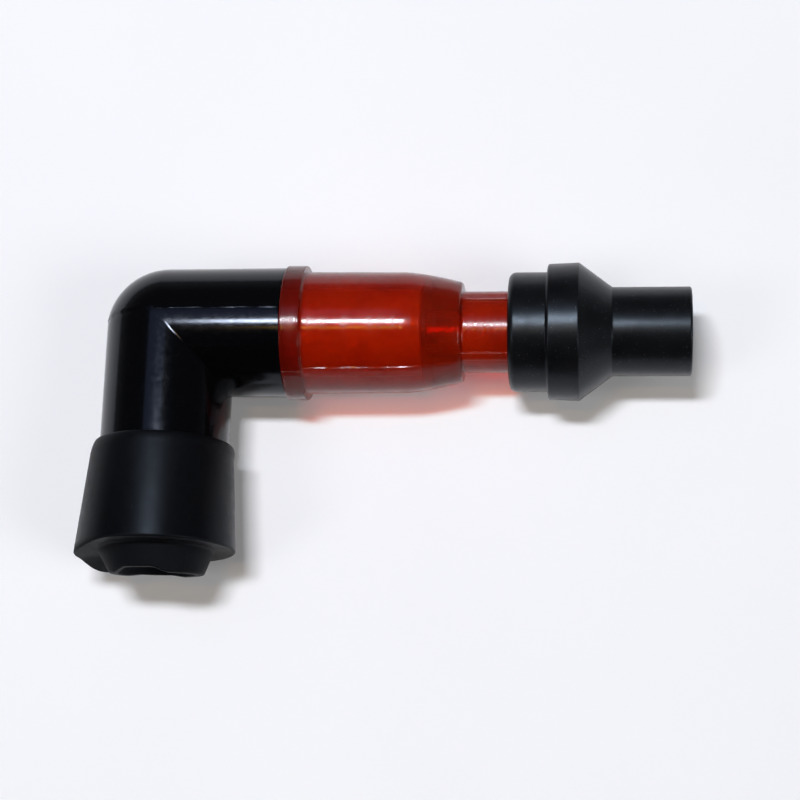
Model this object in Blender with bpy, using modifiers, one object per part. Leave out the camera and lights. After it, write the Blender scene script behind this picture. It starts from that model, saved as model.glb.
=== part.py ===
"""Right-angle resistor cap for a 14 mm spark plug, lying on its side as it comes to rest.

Sizes are in metres. Each piece is turned about one of two axes that cross at the elbow's corner: the
lead axis, along which the high-tension lead enters, and the plug axis, which the plug enters. A place
along an axis is its distance from that corner.
"""

import math

import bmesh
import bpy
from mathutils import Matrix, Vector

MM = 0.001

# Clearance between pieces that fit in or seat on each other
FIT = 0.3 * MM
# How far a cutter runs past the face that it opens
OVERCUT = 1.0 * MM
# Points closer than this are one
WELD = 0.001 * MM

# Sides of a turned piece: large outer pieces, and small inner ones
OUTER_SIDES = 40
BORE_SIDES = 32
INNER_SIDES = 24
SMALL_SIDES = 16
# Points in each turn of a spring or a thread
HELIX_STEPS = 12
# Steps in a rounded edge, an S-shaped taper, an arm's round end, an O-ring's section and the clip's bend
EDGE_STEPS = 4
EASE_STEPS = 6
ROUND_END_STEPS = 12
RING_STEPS = 8
CLIP_STEPS = 12
# Points that a round wire's section has between its quarters
WIRE_RESOLUTION = 2
# Length at which an axis shows in the viewport
AXIS_LENGTH = 10.0 * MM
# Edges that turn by more than this are sharp
SHARP_EDGE = math.radians(35)

# Elbow
LEAD_ARM_RADIUS = 10.35 * MM
LEAD_ARM_LENGTH = 19.1 * MM
PLUG_ARM_RADIUS = 10.25 * MM
PLUG_ARM_LENGTH = 31.0 * MM
ARM_EDGE = 0.3 * MM
CONTACT_BORE_RADIUS = 4.3 * MM
CONTACT_BORE_END = 4.0 * MM
SPRING_BORE_RADIUS = 4.1 * MM
SPRING_BORE_END = 3.6 * MM
PLUG_WELL_RADIUS = 6.3 * MM
PLUG_WELL_DEPTH = 12.0 * MM

# Boot's seat on the plug arm
BOOT_SEAT_RADIUS = 9.2 * MM
BOOT_SEAT_START = 20.2 * MM
BOOT_BEAD_HEIGHT = 0.5 * MM
BOOT_BEAD_PLACE = 26.0 * MM
BOOT_BEAD_WIDTH = 1.8 * MM

# Boot
BOOT_START = 18.8 * MM
BOOT_LIP_WALL = 0.35 * MM
BOOT_SHOULDER_RADIUS = 11.35 * MM
BOOT_SHOULDER_LENGTH = 1.9 * MM
BOOT_RIM_RADIUS = 12.1 * MM
BOOT_RIM_PLACE = 35.6 * MM
BOOT_RIM_EDGE = 0.35 * MM
NOSE_ROOT_RADIUS = 8.7 * MM
NOSE_TIP_RADIUS = 7.4 * MM
NOSE_LENGTH = 3.5 * MM
NOSE_EDGE = 0.5 * MM
INSULATOR_HOLE_RADIUS = 5.2 * MM
MOUTH_RADIUS = 6.0 * MM
MOUTH_DEPTH = 1.6 * MM

# Socket that takes the plug's terminal nut
SOCKET_BORE_RADIUS = 3.3 * MM
SOCKET_WALL = 1.3 * MM
SOCKET_LENGTH = 17.2 * MM
SOCKET_PLATE = 1.2 * MM
SOCKET_EDGE = 0.25 * MM
GROOVE_WALL = 0.45 * MM
CLIP_WIRE_RADIUS = 0.3 * MM
CLIP_LEG_SPACING = 5.8 * MM
CLIP_SETBACK = 3.4 * MM
CLIP_SLOT_WIDTH = 1.5 * MM
CLIP_SLOT_MARGIN = 0.75 * MM

# Stud in the corner and the screw that holds the socket to it
STUD_RADIUS = 4.0 * MM
STUD_END = 6.5 * MM
STUD_EDGE = 0.3 * MM
SCREW_SHANK_RADIUS = 1.25 * MM
SCREW_SHANK_LENGTH = 7.1 * MM
SCREW_HEAD_RADIUS = 2.4 * MM
SCREW_HEAD_HEIGHT = 1.4 * MM
SCREW_SLOT_WIDTH = 0.7 * MM
SCREW_SLOT_DEPTH = 0.7 * MM

# Contact spring
SPRING_RADIUS = 1.9 * MM
SPRING_WIRE_RADIUS = 0.35 * MM
SPRING_TURNS = 7
SPRING_SEAT = 2.2 * MM

# Resistor and its sleeve
RESISTOR_RADIUS = 2.65 * MM
RESISTOR_LENGTH = 20.4 * MM
RESISTOR_CAP_WALL = 0.35 * MM
RESISTOR_CAP_LENGTH = 4.0 * MM
SLEEVE_START = 13.0 * MM
SLEEVE_RADIUS = 6.7 * MM

# Barrel: spigot, flange, body
SPIGOT_RADIUS = 8.3 * MM
SPIGOT_LENGTH = 7.0 * MM
SPIGOT_EDGE = 0.4 * MM
FLANGE_RADIUS = 10.8 * MM
FLANGE_WIDTH = 3.1 * MM
FLANGE_EDGE = 0.15 * MM
FLANGE_FILLET = 0.9 * MM
BARREL_ROOT_RADIUS = 9.8 * MM
BARREL_RADIUS = 9.64 * MM
BARREL_TAPER_START = 38.4 * MM
BARREL_TAPER_LENGTH = 6.6 * MM
SHOULDER_RADIUS = 8.45 * MM
SHOULDER_ROUNDING = 1.4 * MM
BARREL_END = 47.5 * MM
CAVITY_RADIUS = 7.0 * MM
CAVITY_END = 41.3 * MM

# Barrel's neck, which the lead is pushed into
NECK_RADIUS = 6.35 * MM
NECK_END = 67.0 * MM
NECK_EDGE = 0.5 * MM
NECK_RIB_COUNT = 4
NECK_RIB_HEIGHT = 0.3 * MM
NECK_RIB_WIDTH = 1.5 * MM
NECK_RIB_END = 60.0 * MM
NECK_RIB_TURN = math.radians(51)
NECK_BEAD_HEIGHT = 0.95 * MM
NECK_BEAD_PLACE = 62.4 * MM
NECK_BEAD_WIDTH = 2.6 * MM
LEAD_BORE_RADIUS = 3.75 * MM
LEAD_STOP = 46.6 * MM

# O-ring between elbow and flange
O_RING_WIRE_RADIUS = 0.4 * MM

# Screw that bites into the lead's core
LEAD_SCREW_HEAD_RADIUS = 5.2 * MM
LEAD_SCREW_HEAD_HEIGHT = 1.8 * MM
LEAD_SCREW_NECK_RADIUS = 2.2 * MM
LEAD_SCREW_CORE_RADIUS = 1.45 * MM
LEAD_SCREW_LENGTH = 18.0 * MM
LEAD_SCREW_POINT = 3.0 * MM
LEAD_THREAD_HEIGHT = 0.7 * MM
LEAD_THREAD_PITCH = 1.7 * MM
LEAD_THREAD_TURNS = 5

# Seal that closes the neck on the lead
SEAL_START = 54.8 * MM
SEAL_BODY_RADIUS = 9.47 * MM
SEAL_FRONT_EDGE = 1.1 * MM
COLLAR_START = 60.9 * MM
COLLAR_FRONT_RADIUS = 10.75 * MM
COLLAR_RADIUS = 10.95 * MM
COLLAR_WIDTH = 4.9 * MM
COLLAR_EDGE = 0.4 * MM
SEAL_CONE_END = 71.0 * MM
SEAL_TAIL_RADIUS = 7.05 * MM
SEAL_END = 83.4 * MM
SEAL_BORE_RADIUS = 3.5 * MM
SEAL_EDGE = 0.4 * MM

# Places that follow from the sizes above
flange_start = LEAD_ARM_LENGTH + FIT
flange_end = flange_start + FLANGE_WIDTH
spigot_start = flange_start - SPIGOT_LENGTH
nose_tip = BOOT_RIM_PLACE + NOSE_LENGTH
socket_start = STUD_END + FIT
socket_end = socket_start + SOCKET_LENGTH
socket_radius = SOCKET_BORE_RADIUS + SOCKET_WALL
plug_well_start = PLUG_ARM_LENGTH - PLUG_WELL_DEPTH
clip_place = socket_end - CLIP_SETBACK
screw_hole_radius = SCREW_SHANK_RADIUS + FIT
lead_screw_start = CAVITY_END - FIT - LEAD_SCREW_HEAD_HEIGHT
resistor_cap_radius = RESISTOR_RADIUS + FIT + RESISTOR_CAP_WALL
resistor_rear = lead_screw_start - FIT
resistor_end = resistor_rear - RESISTOR_CAP_WALL - FIT
resistor_start = resistor_end - RESISTOR_LENGTH
resistor_front = resistor_start - FIT - RESISTOR_CAP_WALL
sleeve_end = lead_screw_start - FIT
sleeve_bore_radius = resistor_cap_radius + FIT
neck_bead_radius = NECK_RADIUS + NECK_BEAD_HEIGHT
seal_pocket_radius = NECK_RADIUS + NECK_RIB_HEIGHT + FIT


def clear_scene():
    """Removes every object that the scene starts with."""
    for obj in list(bpy.data.objects):
        bpy.data.objects.remove(obj, do_unlink=True)


def new_collection(name):
    """A collection under the scene's own."""
    collection = bpy.data.collections.new(name)
    bpy.context.scene.collection.children.link(collection)
    return collection


def new_material(name, colour, roughness, metallic=0.0, transmission=0.0):
    """A Principled material in one colour."""
    material = bpy.data.materials.new(name)
    material.use_nodes = True
    shader = material.node_tree.nodes["Principled BSDF"]
    shader.inputs["Base Color"].default_value = (*colour, 1.0)
    shader.inputs["Roughness"].default_value = roughness
    shader.inputs["Metallic"].default_value = metallic
    shader.inputs["Transmission Weight"].default_value = transmission
    material.diffuse_color = (*colour, 1.0)
    return material


def new_axis(name, parent, rotation):
    """An empty whose Z axis is the axis of the pieces under it."""
    axis = bpy.data.objects.new(name, None)
    axis.empty_display_size = AXIS_LENGTH
    axis.rotation_euler = rotation
    axis.parent = parent
    parts.objects.link(axis)
    return axis


def place(obj, axis, collection, material=None):
    """Links an object under an axis, with its material."""
    collection.objects.link(obj)
    obj.parent = axis
    if material:
        obj.data.materials.append(material)
    if collection is helpers:
        obj.hide_render = True
        obj.display_type = "WIRE"
    return obj


def make_real(obj):
    """A new mesh of an object as its modifiers or its curve make it, welded and shaded smooth."""
    bpy.context.view_layer.update()
    graph = bpy.context.evaluated_depsgraph_get()
    mesh = bpy.data.meshes.new_from_object(obj.evaluated_get(graph))
    work = bmesh.new()
    work.from_mesh(mesh)
    bmesh.ops.remove_doubles(work, verts=work.verts, dist=WELD)
    work.to_mesh(mesh)
    work.free()
    mesh.shade_smooth()
    mesh.set_sharp_from_angle(angle=SHARP_EDGE)
    return mesh


def arc(centre, radius, first, last, steps=EDGE_STEPS):
    """Points of a round stretch of an outline. Angles are in degrees, from outwards towards the far end."""
    points = []
    for step in range(steps + 1):
        angle = math.radians(first + (last - first) * step / steps)
        points.append((centre[0] + radius * math.cos(angle), centre[1] + radius * math.sin(angle)))
    return points


def ease(start, end, steps=EASE_STEPS):
    """Points of an S-shaped stretch between two points of an outline, without its ends."""
    points = []
    for step in range(1, steps):
        share = step / steps
        eased = (1 - math.cos(math.pi * share)) / 2
        radius = start[0] + (end[0] - start[0]) * eased
        along = start[1] + (end[1] - start[1]) * share
        points.append((radius, along))
    return points


def turned(name, outline, axis, material=None, collection=None, sides=OUTER_SIDES, pierced=True):
    """A piece turned about an axis.

    The outline is a list of (radius, place along the axis) that runs from the far end down the outer
    side. A pierced piece comes back up its bore and closes, and a solid one starts and ends on the axis.
    """
    edges = [(index, index + 1) for index in range(len(outline) - 1)]
    if pierced:
        edges.append((len(outline) - 1, 0))
    mesh = bpy.data.meshes.new(name)
    mesh.from_pydata([(radius, 0, along) for radius, along in outline], edges, [])
    obj = place(bpy.data.objects.new(name, mesh), axis, collection or parts)
    screw = obj.modifiers.new("Turn", "SCREW")
    screw.steps = sides
    screw.render_steps = sides
    screw.use_merge_vertices = True
    screw.merge_threshold = WELD
    solid = make_real(obj)
    obj.modifiers.clear()
    obj.data = solid
    if material:
        obj.data.materials.append(material)
    return obj


def block(name, size, location, axis, turn=0.0):
    """A box in the helpers' collection, at a place in its axis's own frame, turned about that axis."""
    work = bmesh.new()
    bmesh.ops.create_cube(work, size=1, matrix=Matrix.Diagonal((*size, 1)))
    mesh = bpy.data.meshes.new(name)
    work.to_mesh(mesh)
    work.free()
    obj = place(bpy.data.objects.new(name, mesh), axis, helpers)
    obj.location = location
    obj.rotation_euler = (0, 0, turn)
    return obj


def wire(name, points, radius, axis, material=None, collection=None):
    """A round wire through a list of points."""
    curve = bpy.data.curves.new(name, "CURVE")
    curve.dimensions = "3D"
    curve.bevel_depth = radius
    curve.bevel_resolution = WIRE_RESOLUTION
    curve.use_fill_caps = True
    spline = curve.splines.new("POLY")
    spline.points.add(len(points) - 1)
    for point, co in zip(spline.points, points):
        point.co = (*co, 1.0)
    return place(bpy.data.objects.new(name, curve), axis, collection or parts, material)


def helix(radius, start, end, turns):
    """Points along a helix about the axis."""
    count = round(turns * HELIX_STEPS)
    points = []
    for step in range(count + 1):
        angle = math.tau * turns * step / count
        along = start + (end - start) * step / count
        points.append((radius * math.cos(angle), radius * math.sin(angle), along))
    return points


def combine(obj, other, operation):
    """Cuts another object from this one, or joins it to this one."""
    modifier = obj.modifiers.new(other.name, "BOOLEAN")
    modifier.operation = operation
    modifier.solver = "EXACT"
    modifier.object = other


def bead(seat, height, start, width):
    """A rounded bead on the outer side of an outline, from its far edge to its near one."""
    slope = height
    return [
        (seat, start + width),
        (seat + height, start + width - slope),
        (seat + height, start + slope),
        (seat, start),
    ]


def bead_groove(seat, height, start, width):
    """The groove in a bore that clears such a bead, from its near edge to its far one."""
    return [(radius, along) for radius, along in reversed(bead(seat, height, start - FIT, width + 2 * FIT))]


def make_elbow():
    """The elbow: two arms with round ends that meet in a mitre, bored from both ends."""
    lead_arm = [
        (0, LEAD_ARM_LENGTH),
        (LEAD_ARM_RADIUS - ARM_EDGE, LEAD_ARM_LENGTH),
        (LEAD_ARM_RADIUS, LEAD_ARM_LENGTH - ARM_EDGE),
        *arc((0, 0), LEAD_ARM_RADIUS, 0, -90, ROUND_END_STEPS),
    ]
    plug_arm = [
        (0, PLUG_ARM_LENGTH),
        (BOOT_SEAT_RADIUS - ARM_EDGE, PLUG_ARM_LENGTH),
        (BOOT_SEAT_RADIUS, PLUG_ARM_LENGTH - ARM_EDGE),
        *bead(BOOT_SEAT_RADIUS, BOOT_BEAD_HEIGHT, BOOT_BEAD_PLACE, BOOT_BEAD_WIDTH),
        (BOOT_SEAT_RADIUS, BOOT_SEAT_START),
        (PLUG_ARM_RADIUS, BOOT_SEAT_START),
        *arc((0, 0), PLUG_ARM_RADIUS, 0, -90, ROUND_END_STEPS),
    ]
    o_ring_seat = SPIGOT_RADIUS + 2 * FIT + 2 * O_RING_WIRE_RADIUS
    o_ring_depth = 2 * O_RING_WIRE_RADIUS + FIT
    lead_bore = [
        (0, LEAD_ARM_LENGTH + OVERCUT),
        (o_ring_seat, LEAD_ARM_LENGTH + OVERCUT),
        (o_ring_seat, LEAD_ARM_LENGTH - o_ring_depth),
        (SPIGOT_RADIUS + FIT, LEAD_ARM_LENGTH - o_ring_depth),
        (SPIGOT_RADIUS + FIT, spigot_start - FIT),
        (SPRING_BORE_RADIUS, spigot_start - FIT),
        (SPRING_BORE_RADIUS, -SPRING_BORE_END),
        (0, -SPRING_BORE_END),
    ]
    plug_bore = [
        (0, PLUG_ARM_LENGTH + OVERCUT),
        (PLUG_WELL_RADIUS, PLUG_ARM_LENGTH + OVERCUT),
        (PLUG_WELL_RADIUS, plug_well_start),
        (socket_radius + FIT, plug_well_start),
        (socket_radius + FIT, STUD_END),
        (CONTACT_BORE_RADIUS, STUD_END),
        (CONTACT_BORE_RADIUS, -CONTACT_BORE_END),
        (0, -CONTACT_BORE_END),
    ]
    elbow = turned("elbow_housing", lead_arm, lead_axis, black_phenolic, pierced=False)
    arm = turned("plug_arm", plug_arm, plug_axis, collection=helpers, pierced=False)
    lead_cutter = turned("lead_bore", lead_bore, lead_axis, collection=helpers, sides=BORE_SIDES, pierced=False)
    plug_cutter = turned("plug_bore", plug_bore, plug_axis, collection=helpers, sides=BORE_SIDES, pierced=False)
    combine(elbow, arm, "UNION")
    combine(elbow, lead_cutter, "DIFFERENCE")
    combine(elbow, plug_cutter, "DIFFERENCE")


def make_boot():
    """The rubber boot on the plug arm, with the nose that closes on the plug's insulator."""
    lip_bore = PLUG_ARM_RADIUS + FIT
    seat_bore = BOOT_SEAT_RADIUS + FIT
    shoulder_end = BOOT_START + BOOT_SHOULDER_LENGTH
    shoulder_rise = BOOT_SHOULDER_RADIUS - lip_bore - BOOT_LIP_WALL
    shoulder = []
    for radius, share in arc((0, 0), 1.0, 0, -90):
        shoulder.append((
            lip_bore + BOOT_LIP_WALL + shoulder_rise * radius,
            shoulder_end + BOOT_SHOULDER_LENGTH * share,
        ))
    nose_edge = (NOSE_TIP_RADIUS - NOSE_EDGE, nose_tip - NOSE_EDGE)
    rim_edge = (BOOT_RIM_RADIUS - BOOT_RIM_EDGE, BOOT_RIM_PLACE - BOOT_RIM_EDGE)
    outline = [
        (MOUTH_RADIUS, nose_tip),
        *arc(nose_edge, NOSE_EDGE, 90, 0),
        (NOSE_ROOT_RADIUS, BOOT_RIM_PLACE),
        *arc(rim_edge, BOOT_RIM_EDGE, 90, 0),
        *shoulder,
        (lip_bore, BOOT_START),
        (lip_bore, BOOT_SEAT_START + FIT),
        (seat_bore, BOOT_SEAT_START + FIT),
        *bead_groove(seat_bore, BOOT_BEAD_HEIGHT, BOOT_BEAD_PLACE, BOOT_BEAD_WIDTH),
        (seat_bore, PLUG_ARM_LENGTH + FIT),
        (INSULATOR_HOLE_RADIUS, PLUG_ARM_LENGTH + FIT),
        (INSULATOR_HOLE_RADIUS, nose_tip - MOUTH_DEPTH),
    ]
    turned("plug_boot", outline, plug_axis, black_rubber)


def make_socket():
    """The socket for the plug's terminal nut: a tube with a floor, a groove and two slots for its clip."""
    groove_floor = SOCKET_BORE_RADIUS + GROOVE_WALL
    groove_half = CLIP_WIRE_RADIUS + FIT
    outline = [
        (SOCKET_BORE_RADIUS + SOCKET_EDGE, socket_end),
        (socket_radius - SOCKET_EDGE, socket_end),
        (socket_radius, socket_end - SOCKET_EDGE),
        (socket_radius, clip_place + groove_half),
        (groove_floor, clip_place + groove_half),
        (groove_floor, clip_place - groove_half),
        (socket_radius, clip_place - groove_half),
        (socket_radius, socket_start),
        (screw_hole_radius, socket_start),
        (screw_hole_radius, socket_start + SOCKET_PLATE),
        (SOCKET_BORE_RADIUS, socket_start + SOCKET_PLATE),
        (SOCKET_BORE_RADIUS, socket_end - SOCKET_EDGE),
    ]
    socket = turned("plug_socket", outline, plug_axis, brass, sides=BORE_SIDES)
    slot_inner = CLIP_LEG_SPACING / 2 - CLIP_WIRE_RADIUS - FIT
    slot_outer = socket_radius + OVERCUT
    slot_size = (slot_outer - slot_inner, 2 * (socket_radius - CLIP_SLOT_MARGIN), CLIP_SLOT_WIDTH)
    for name, side in (("slot_left", -1), ("slot_right", 1)):
        slot = block(name, slot_size, (side * (slot_inner + slot_outer) / 2, 0, clip_place), plug_axis)
        combine(socket, slot, "DIFFERENCE")
    leg = CLIP_LEG_SPACING / 2
    clip_radius = groove_floor + FIT + CLIP_WIRE_RADIUS
    bend = math.degrees(math.acos(leg / clip_radius))
    leg_end = -(socket_radius - SOCKET_WALL / 2)
    path = [(leg, leg_end, clip_place)]
    path += [(x, y, clip_place) for x, y in arc((0, 0), clip_radius, bend, 180 - bend, CLIP_STEPS)]
    path.append((-leg, leg_end, clip_place))
    wire("socket_clip", path, CLIP_WIRE_RADIUS, plug_axis, spring_steel)


def make_contact():
    """The stud in the elbow's corner and the slotted screw that holds the socket to it."""
    stud_back = -(CONTACT_BORE_END - FIT)
    stud = turned(
        "corner_contact",
        [
            (0, STUD_END),
            (STUD_RADIUS - STUD_EDGE, STUD_END),
            (STUD_RADIUS, STUD_END - STUD_EDGE),
            (STUD_RADIUS, stud_back + STUD_EDGE),
            (STUD_RADIUS - STUD_EDGE, stud_back),
            (0, stud_back),
        ],
        plug_axis,
        brass,
        sides=INNER_SIDES,
        pierced=False,
    )
    head_start = socket_start + SOCKET_PLATE + FIT
    head_end = head_start + SCREW_HEAD_HEIGHT
    shank_start = head_start - SCREW_SHANK_LENGTH
    hole = [
        (0, STUD_END + OVERCUT),
        (screw_hole_radius, STUD_END + OVERCUT),
        (screw_hole_radius, shank_start - FIT),
        (0, shank_start - FIT),
    ]
    seat_radius = SPRING_RADIUS + SPRING_WIRE_RADIUS + FIT
    seat = [
        (0, STUD_RADIUS + OVERCUT),
        (seat_radius, STUD_RADIUS + OVERCUT),
        (seat_radius, SPRING_SEAT),
        (0, SPRING_SEAT),
    ]
    combine(stud, turned("stud_hole", hole, plug_axis, None, helpers, SMALL_SIDES, False), "DIFFERENCE")
    combine(stud, turned("spring_seat", seat, lead_axis, None, helpers, INNER_SIDES, False), "DIFFERENCE")
    screw = turned(
        "contact_screw",
        [
            (0, head_end),
            (SCREW_HEAD_RADIUS - STUD_EDGE, head_end),
            (SCREW_HEAD_RADIUS, head_end - STUD_EDGE),
            (SCREW_HEAD_RADIUS, head_start),
            (SCREW_SHANK_RADIUS, head_start),
            (SCREW_SHANK_RADIUS, shank_start + STUD_EDGE),
            (SCREW_SHANK_RADIUS - STUD_EDGE, shank_start),
            (0, shank_start),
        ],
        plug_axis,
        spring_steel,
        sides=INNER_SIDES,
        pierced=False,
    )
    slot_size = (2 * (SCREW_HEAD_RADIUS + OVERCUT), SCREW_SLOT_WIDTH, 2 * SCREW_SLOT_DEPTH)
    combine(screw, block("screw_slot", slot_size, (0, 0, head_end), plug_axis), "DIFFERENCE")


def make_spring():
    """The spring that presses the resistor against the lead's screw."""
    first = SPRING_SEAT + FIT + SPRING_WIRE_RADIUS
    last = resistor_front - FIT - SPRING_WIRE_RADIUS
    points = helix(SPRING_RADIUS, first, last, SPRING_TURNS)
    wire("contact_spring", points, SPRING_WIRE_RADIUS, lead_axis, spring_steel)


def make_resistor():
    """The resistor's ceramic core with its two brass caps, and the sleeve that centres it in the barrel."""
    core = [
        (0, resistor_end),
        (RESISTOR_RADIUS, resistor_end),
        (RESISTOR_RADIUS, resistor_start),
        (0, resistor_start),
    ]
    turned("resistor_core", core, lead_axis, white_ceramic, sides=INNER_SIDES, pierced=False)
    bore = RESISTOR_RADIUS + FIT
    floor = resistor_start - FIT
    edge = resistor_front + RESISTOR_CAP_LENGTH
    front_cap = [
        (0, floor),
        (bore, floor),
        (bore, edge),
        (resistor_cap_radius, edge),
        (resistor_cap_radius, resistor_front),
        (0, resistor_front),
    ]
    turned("resistor_cap_front", front_cap, lead_axis, brass, sides=INNER_SIDES, pierced=False)
    roof = resistor_end + FIT
    edge = resistor_rear - RESISTOR_CAP_LENGTH
    rear_cap = [
        (0, resistor_rear),
        (resistor_cap_radius, resistor_rear),
        (resistor_cap_radius, edge),
        (bore, edge),
        (bore, roof),
        (0, roof),
    ]
    turned("resistor_cap_rear", rear_cap, lead_axis, brass, sides=INNER_SIDES, pierced=False)
    sleeve = [
        (sleeve_bore_radius, sleeve_end),
        (SLEEVE_RADIUS, sleeve_end),
        (SLEEVE_RADIUS, SLEEVE_START),
        (sleeve_bore_radius, SLEEVE_START),
    ]
    turned("resistor_sleeve", sleeve, lead_axis, white_nylon, sides=BORE_SIDES)


def make_barrel():
    """The red barrel: spigot, flange, body with a drawn-in shoulder, and the ribbed neck for the lead."""
    shoulder_edge = (SHOULDER_RADIUS - SHOULDER_ROUNDING, BARREL_END - SHOULDER_ROUNDING)
    taper_far = (SHOULDER_RADIUS, BARREL_TAPER_START + BARREL_TAPER_LENGTH)
    taper_near = (BARREL_RADIUS, BARREL_TAPER_START)
    outline = [
        (NECK_RADIUS - NECK_EDGE, NECK_END),
        (NECK_RADIUS, NECK_END - NECK_EDGE),
        *bead(NECK_RADIUS, NECK_BEAD_HEIGHT, NECK_BEAD_PLACE, NECK_BEAD_WIDTH),
        (NECK_RADIUS, BARREL_END),
        *arc(shoulder_edge, SHOULDER_ROUNDING, 90, 0),
        taper_far,
        *ease(taper_far, taper_near),
        taper_near,
        (BARREL_ROOT_RADIUS, flange_end + FLANGE_FILLET),
        (FLANGE_RADIUS - FLANGE_EDGE, flange_end),
        (FLANGE_RADIUS, flange_end - 2 * FLANGE_EDGE),
        (FLANGE_RADIUS, flange_start + FLANGE_EDGE),
        (FLANGE_RADIUS - FLANGE_EDGE, flange_start),
        (SPIGOT_RADIUS, flange_start),
        (SPIGOT_RADIUS, spigot_start + SPIGOT_EDGE),
        (SPIGOT_RADIUS - SPIGOT_EDGE, spigot_start),
        (CAVITY_RADIUS, spigot_start),
        (CAVITY_RADIUS, CAVITY_END),
        (LEAD_SCREW_NECK_RADIUS + FIT, CAVITY_END),
        (LEAD_SCREW_NECK_RADIUS + FIT, LEAD_STOP),
        (LEAD_BORE_RADIUS, LEAD_STOP),
        (LEAD_BORE_RADIUS, NECK_END - NECK_EDGE),
        (LEAD_BORE_RADIUS + NECK_EDGE, NECK_END),
    ]
    barrel = turned("red_barrel", outline, lead_axis, red_polycarbonate)
    rib_start = BARREL_END - SHOULDER_ROUNDING
    rib_depth = (NECK_RADIUS - LEAD_BORE_RADIUS) / 2 + NECK_RIB_HEIGHT
    rib_middle = NECK_RADIUS + NECK_RIB_HEIGHT - rib_depth / 2
    for index in range(NECK_RIB_COUNT):
        turn = NECK_RIB_TURN + math.tau * index / NECK_RIB_COUNT
        where = (rib_middle * math.cos(turn), rib_middle * math.sin(turn), (rib_start + NECK_RIB_END) / 2)
        size = (rib_depth, NECK_RIB_WIDTH, NECK_RIB_END - rib_start)
        combine(barrel, block(f"neck_rib_{index + 1}", size, where, lead_axis, turn), "UNION")


def make_o_ring():
    """The O-ring in the elbow's mouth, under the barrel's flange."""
    centre = (SPIGOT_RADIUS + FIT + O_RING_WIRE_RADIUS, LEAD_ARM_LENGTH - O_RING_WIRE_RADIUS)
    section = arc(centre, O_RING_WIRE_RADIUS, 90, -270, RING_STEPS)[:-1]
    turned("barrel_o_ring", section, lead_axis, black_rubber)


def make_lead_screw():
    """The screw that stands in the neck's bore and bites into the lead's core."""
    head_end = lead_screw_start + LEAD_SCREW_HEAD_HEIGHT
    tip = head_end + LEAD_SCREW_LENGTH
    point = tip - LEAD_SCREW_POINT
    outline = [
        (0, tip),
        (LEAD_SCREW_CORE_RADIUS, point),
        (LEAD_SCREW_CORE_RADIUS, LEAD_STOP),
        (LEAD_SCREW_NECK_RADIUS, LEAD_STOP - FIT),
        (LEAD_SCREW_NECK_RADIUS, head_end),
        (LEAD_SCREW_HEAD_RADIUS, head_end),
        (LEAD_SCREW_HEAD_RADIUS, lead_screw_start),
        (0, lead_screw_start),
    ]
    screw = turned("lead_screw", outline, lead_axis, brass, sides=INNER_SIDES, pierced=False)
    ridge = LEAD_THREAD_HEIGHT / 2
    last = point - ridge
    first = last - LEAD_THREAD_PITCH * LEAD_THREAD_TURNS
    points = helix(LEAD_SCREW_CORE_RADIUS + ridge / 2, first, last, LEAD_THREAD_TURNS)
    curve = wire("lead_thread_path", points, ridge, lead_axis, collection=helpers)
    thread = bpy.data.objects.new("lead_thread", make_real(curve))
    place(thread, lead_axis, helpers)
    bpy.data.objects.remove(curve, do_unlink=True)
    combine(screw, thread, "UNION")


def make_seal():
    """The rubber seal over the neck's end, with its collar, cone and tail."""
    front_edge = (SEAL_BODY_RADIUS - SEAL_FRONT_EDGE, SEAL_START + SEAL_FRONT_EDGE)
    collar_end = COLLAR_START + COLLAR_WIDTH
    outline = [
        (SEAL_BORE_RADIUS + SEAL_EDGE, SEAL_END),
        *arc((SEAL_TAIL_RADIUS - SEAL_EDGE, SEAL_END - SEAL_EDGE), SEAL_EDGE, 90, 0),
        (SEAL_TAIL_RADIUS, SEAL_CONE_END),
        (SEAL_TAIL_RADIUS + SEAL_EDGE, SEAL_CONE_END - SEAL_EDGE),
        (COLLAR_RADIUS - COLLAR_EDGE, collar_end + COLLAR_EDGE),
        (COLLAR_RADIUS, collar_end - COLLAR_EDGE),
        (COLLAR_FRONT_RADIUS, COLLAR_START + COLLAR_EDGE),
        (COLLAR_FRONT_RADIUS - COLLAR_EDGE, COLLAR_START),
        (SEAL_BODY_RADIUS, COLLAR_START - COLLAR_EDGE),
        *arc(front_edge, SEAL_FRONT_EDGE, 0, -90),
        (seal_pocket_radius, SEAL_START),
        *bead_groove(
            seal_pocket_radius,
            neck_bead_radius + FIT - seal_pocket_radius,
            NECK_BEAD_PLACE,
            NECK_BEAD_WIDTH,
        ),
        (seal_pocket_radius, NECK_END + FIT),
        (SEAL_BORE_RADIUS, NECK_END + FIT),
        (SEAL_BORE_RADIUS, SEAL_END - SEAL_EDGE),
    ]
    turned("cable_seal", outline, lead_axis, black_rubber)


def rest_normal():
    """The upward normal of the floor, in the cap's own frame, when the cap lies on three rims.

    The rims are the flange's near edge, the collar's far edge and the boot's rim. A rim of radius r,
    centred a distance d along an axis that rises towards the floor's normal by an angle t, reaches
    down to d sin t - r cos t.
    """
    collar_rim = COLLAR_START + COLLAR_WIDTH - COLLAR_EDGE
    flange_rim = flange_start + FLANGE_EDGE
    lead_rise = math.atan((COLLAR_RADIUS - FLANGE_RADIUS) / (collar_rim - flange_rim))
    height = FLANGE_RADIUS * math.cos(lead_rise) - flange_rim * math.sin(lead_rise)
    boot_rim = BOOT_RIM_PLACE - BOOT_RIM_EDGE
    reach = math.hypot(boot_rim, BOOT_RIM_RADIUS)
    plug_rise = math.acos(height / reach) - math.atan2(boot_rim, BOOT_RIM_RADIUS)
    along_lead = math.sin(lead_rise)
    along_plug = math.sin(plug_rise)
    upwards = math.sqrt(1 - along_lead**2 - along_plug**2)
    return Vector((along_lead, -along_plug, upwards))


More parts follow.
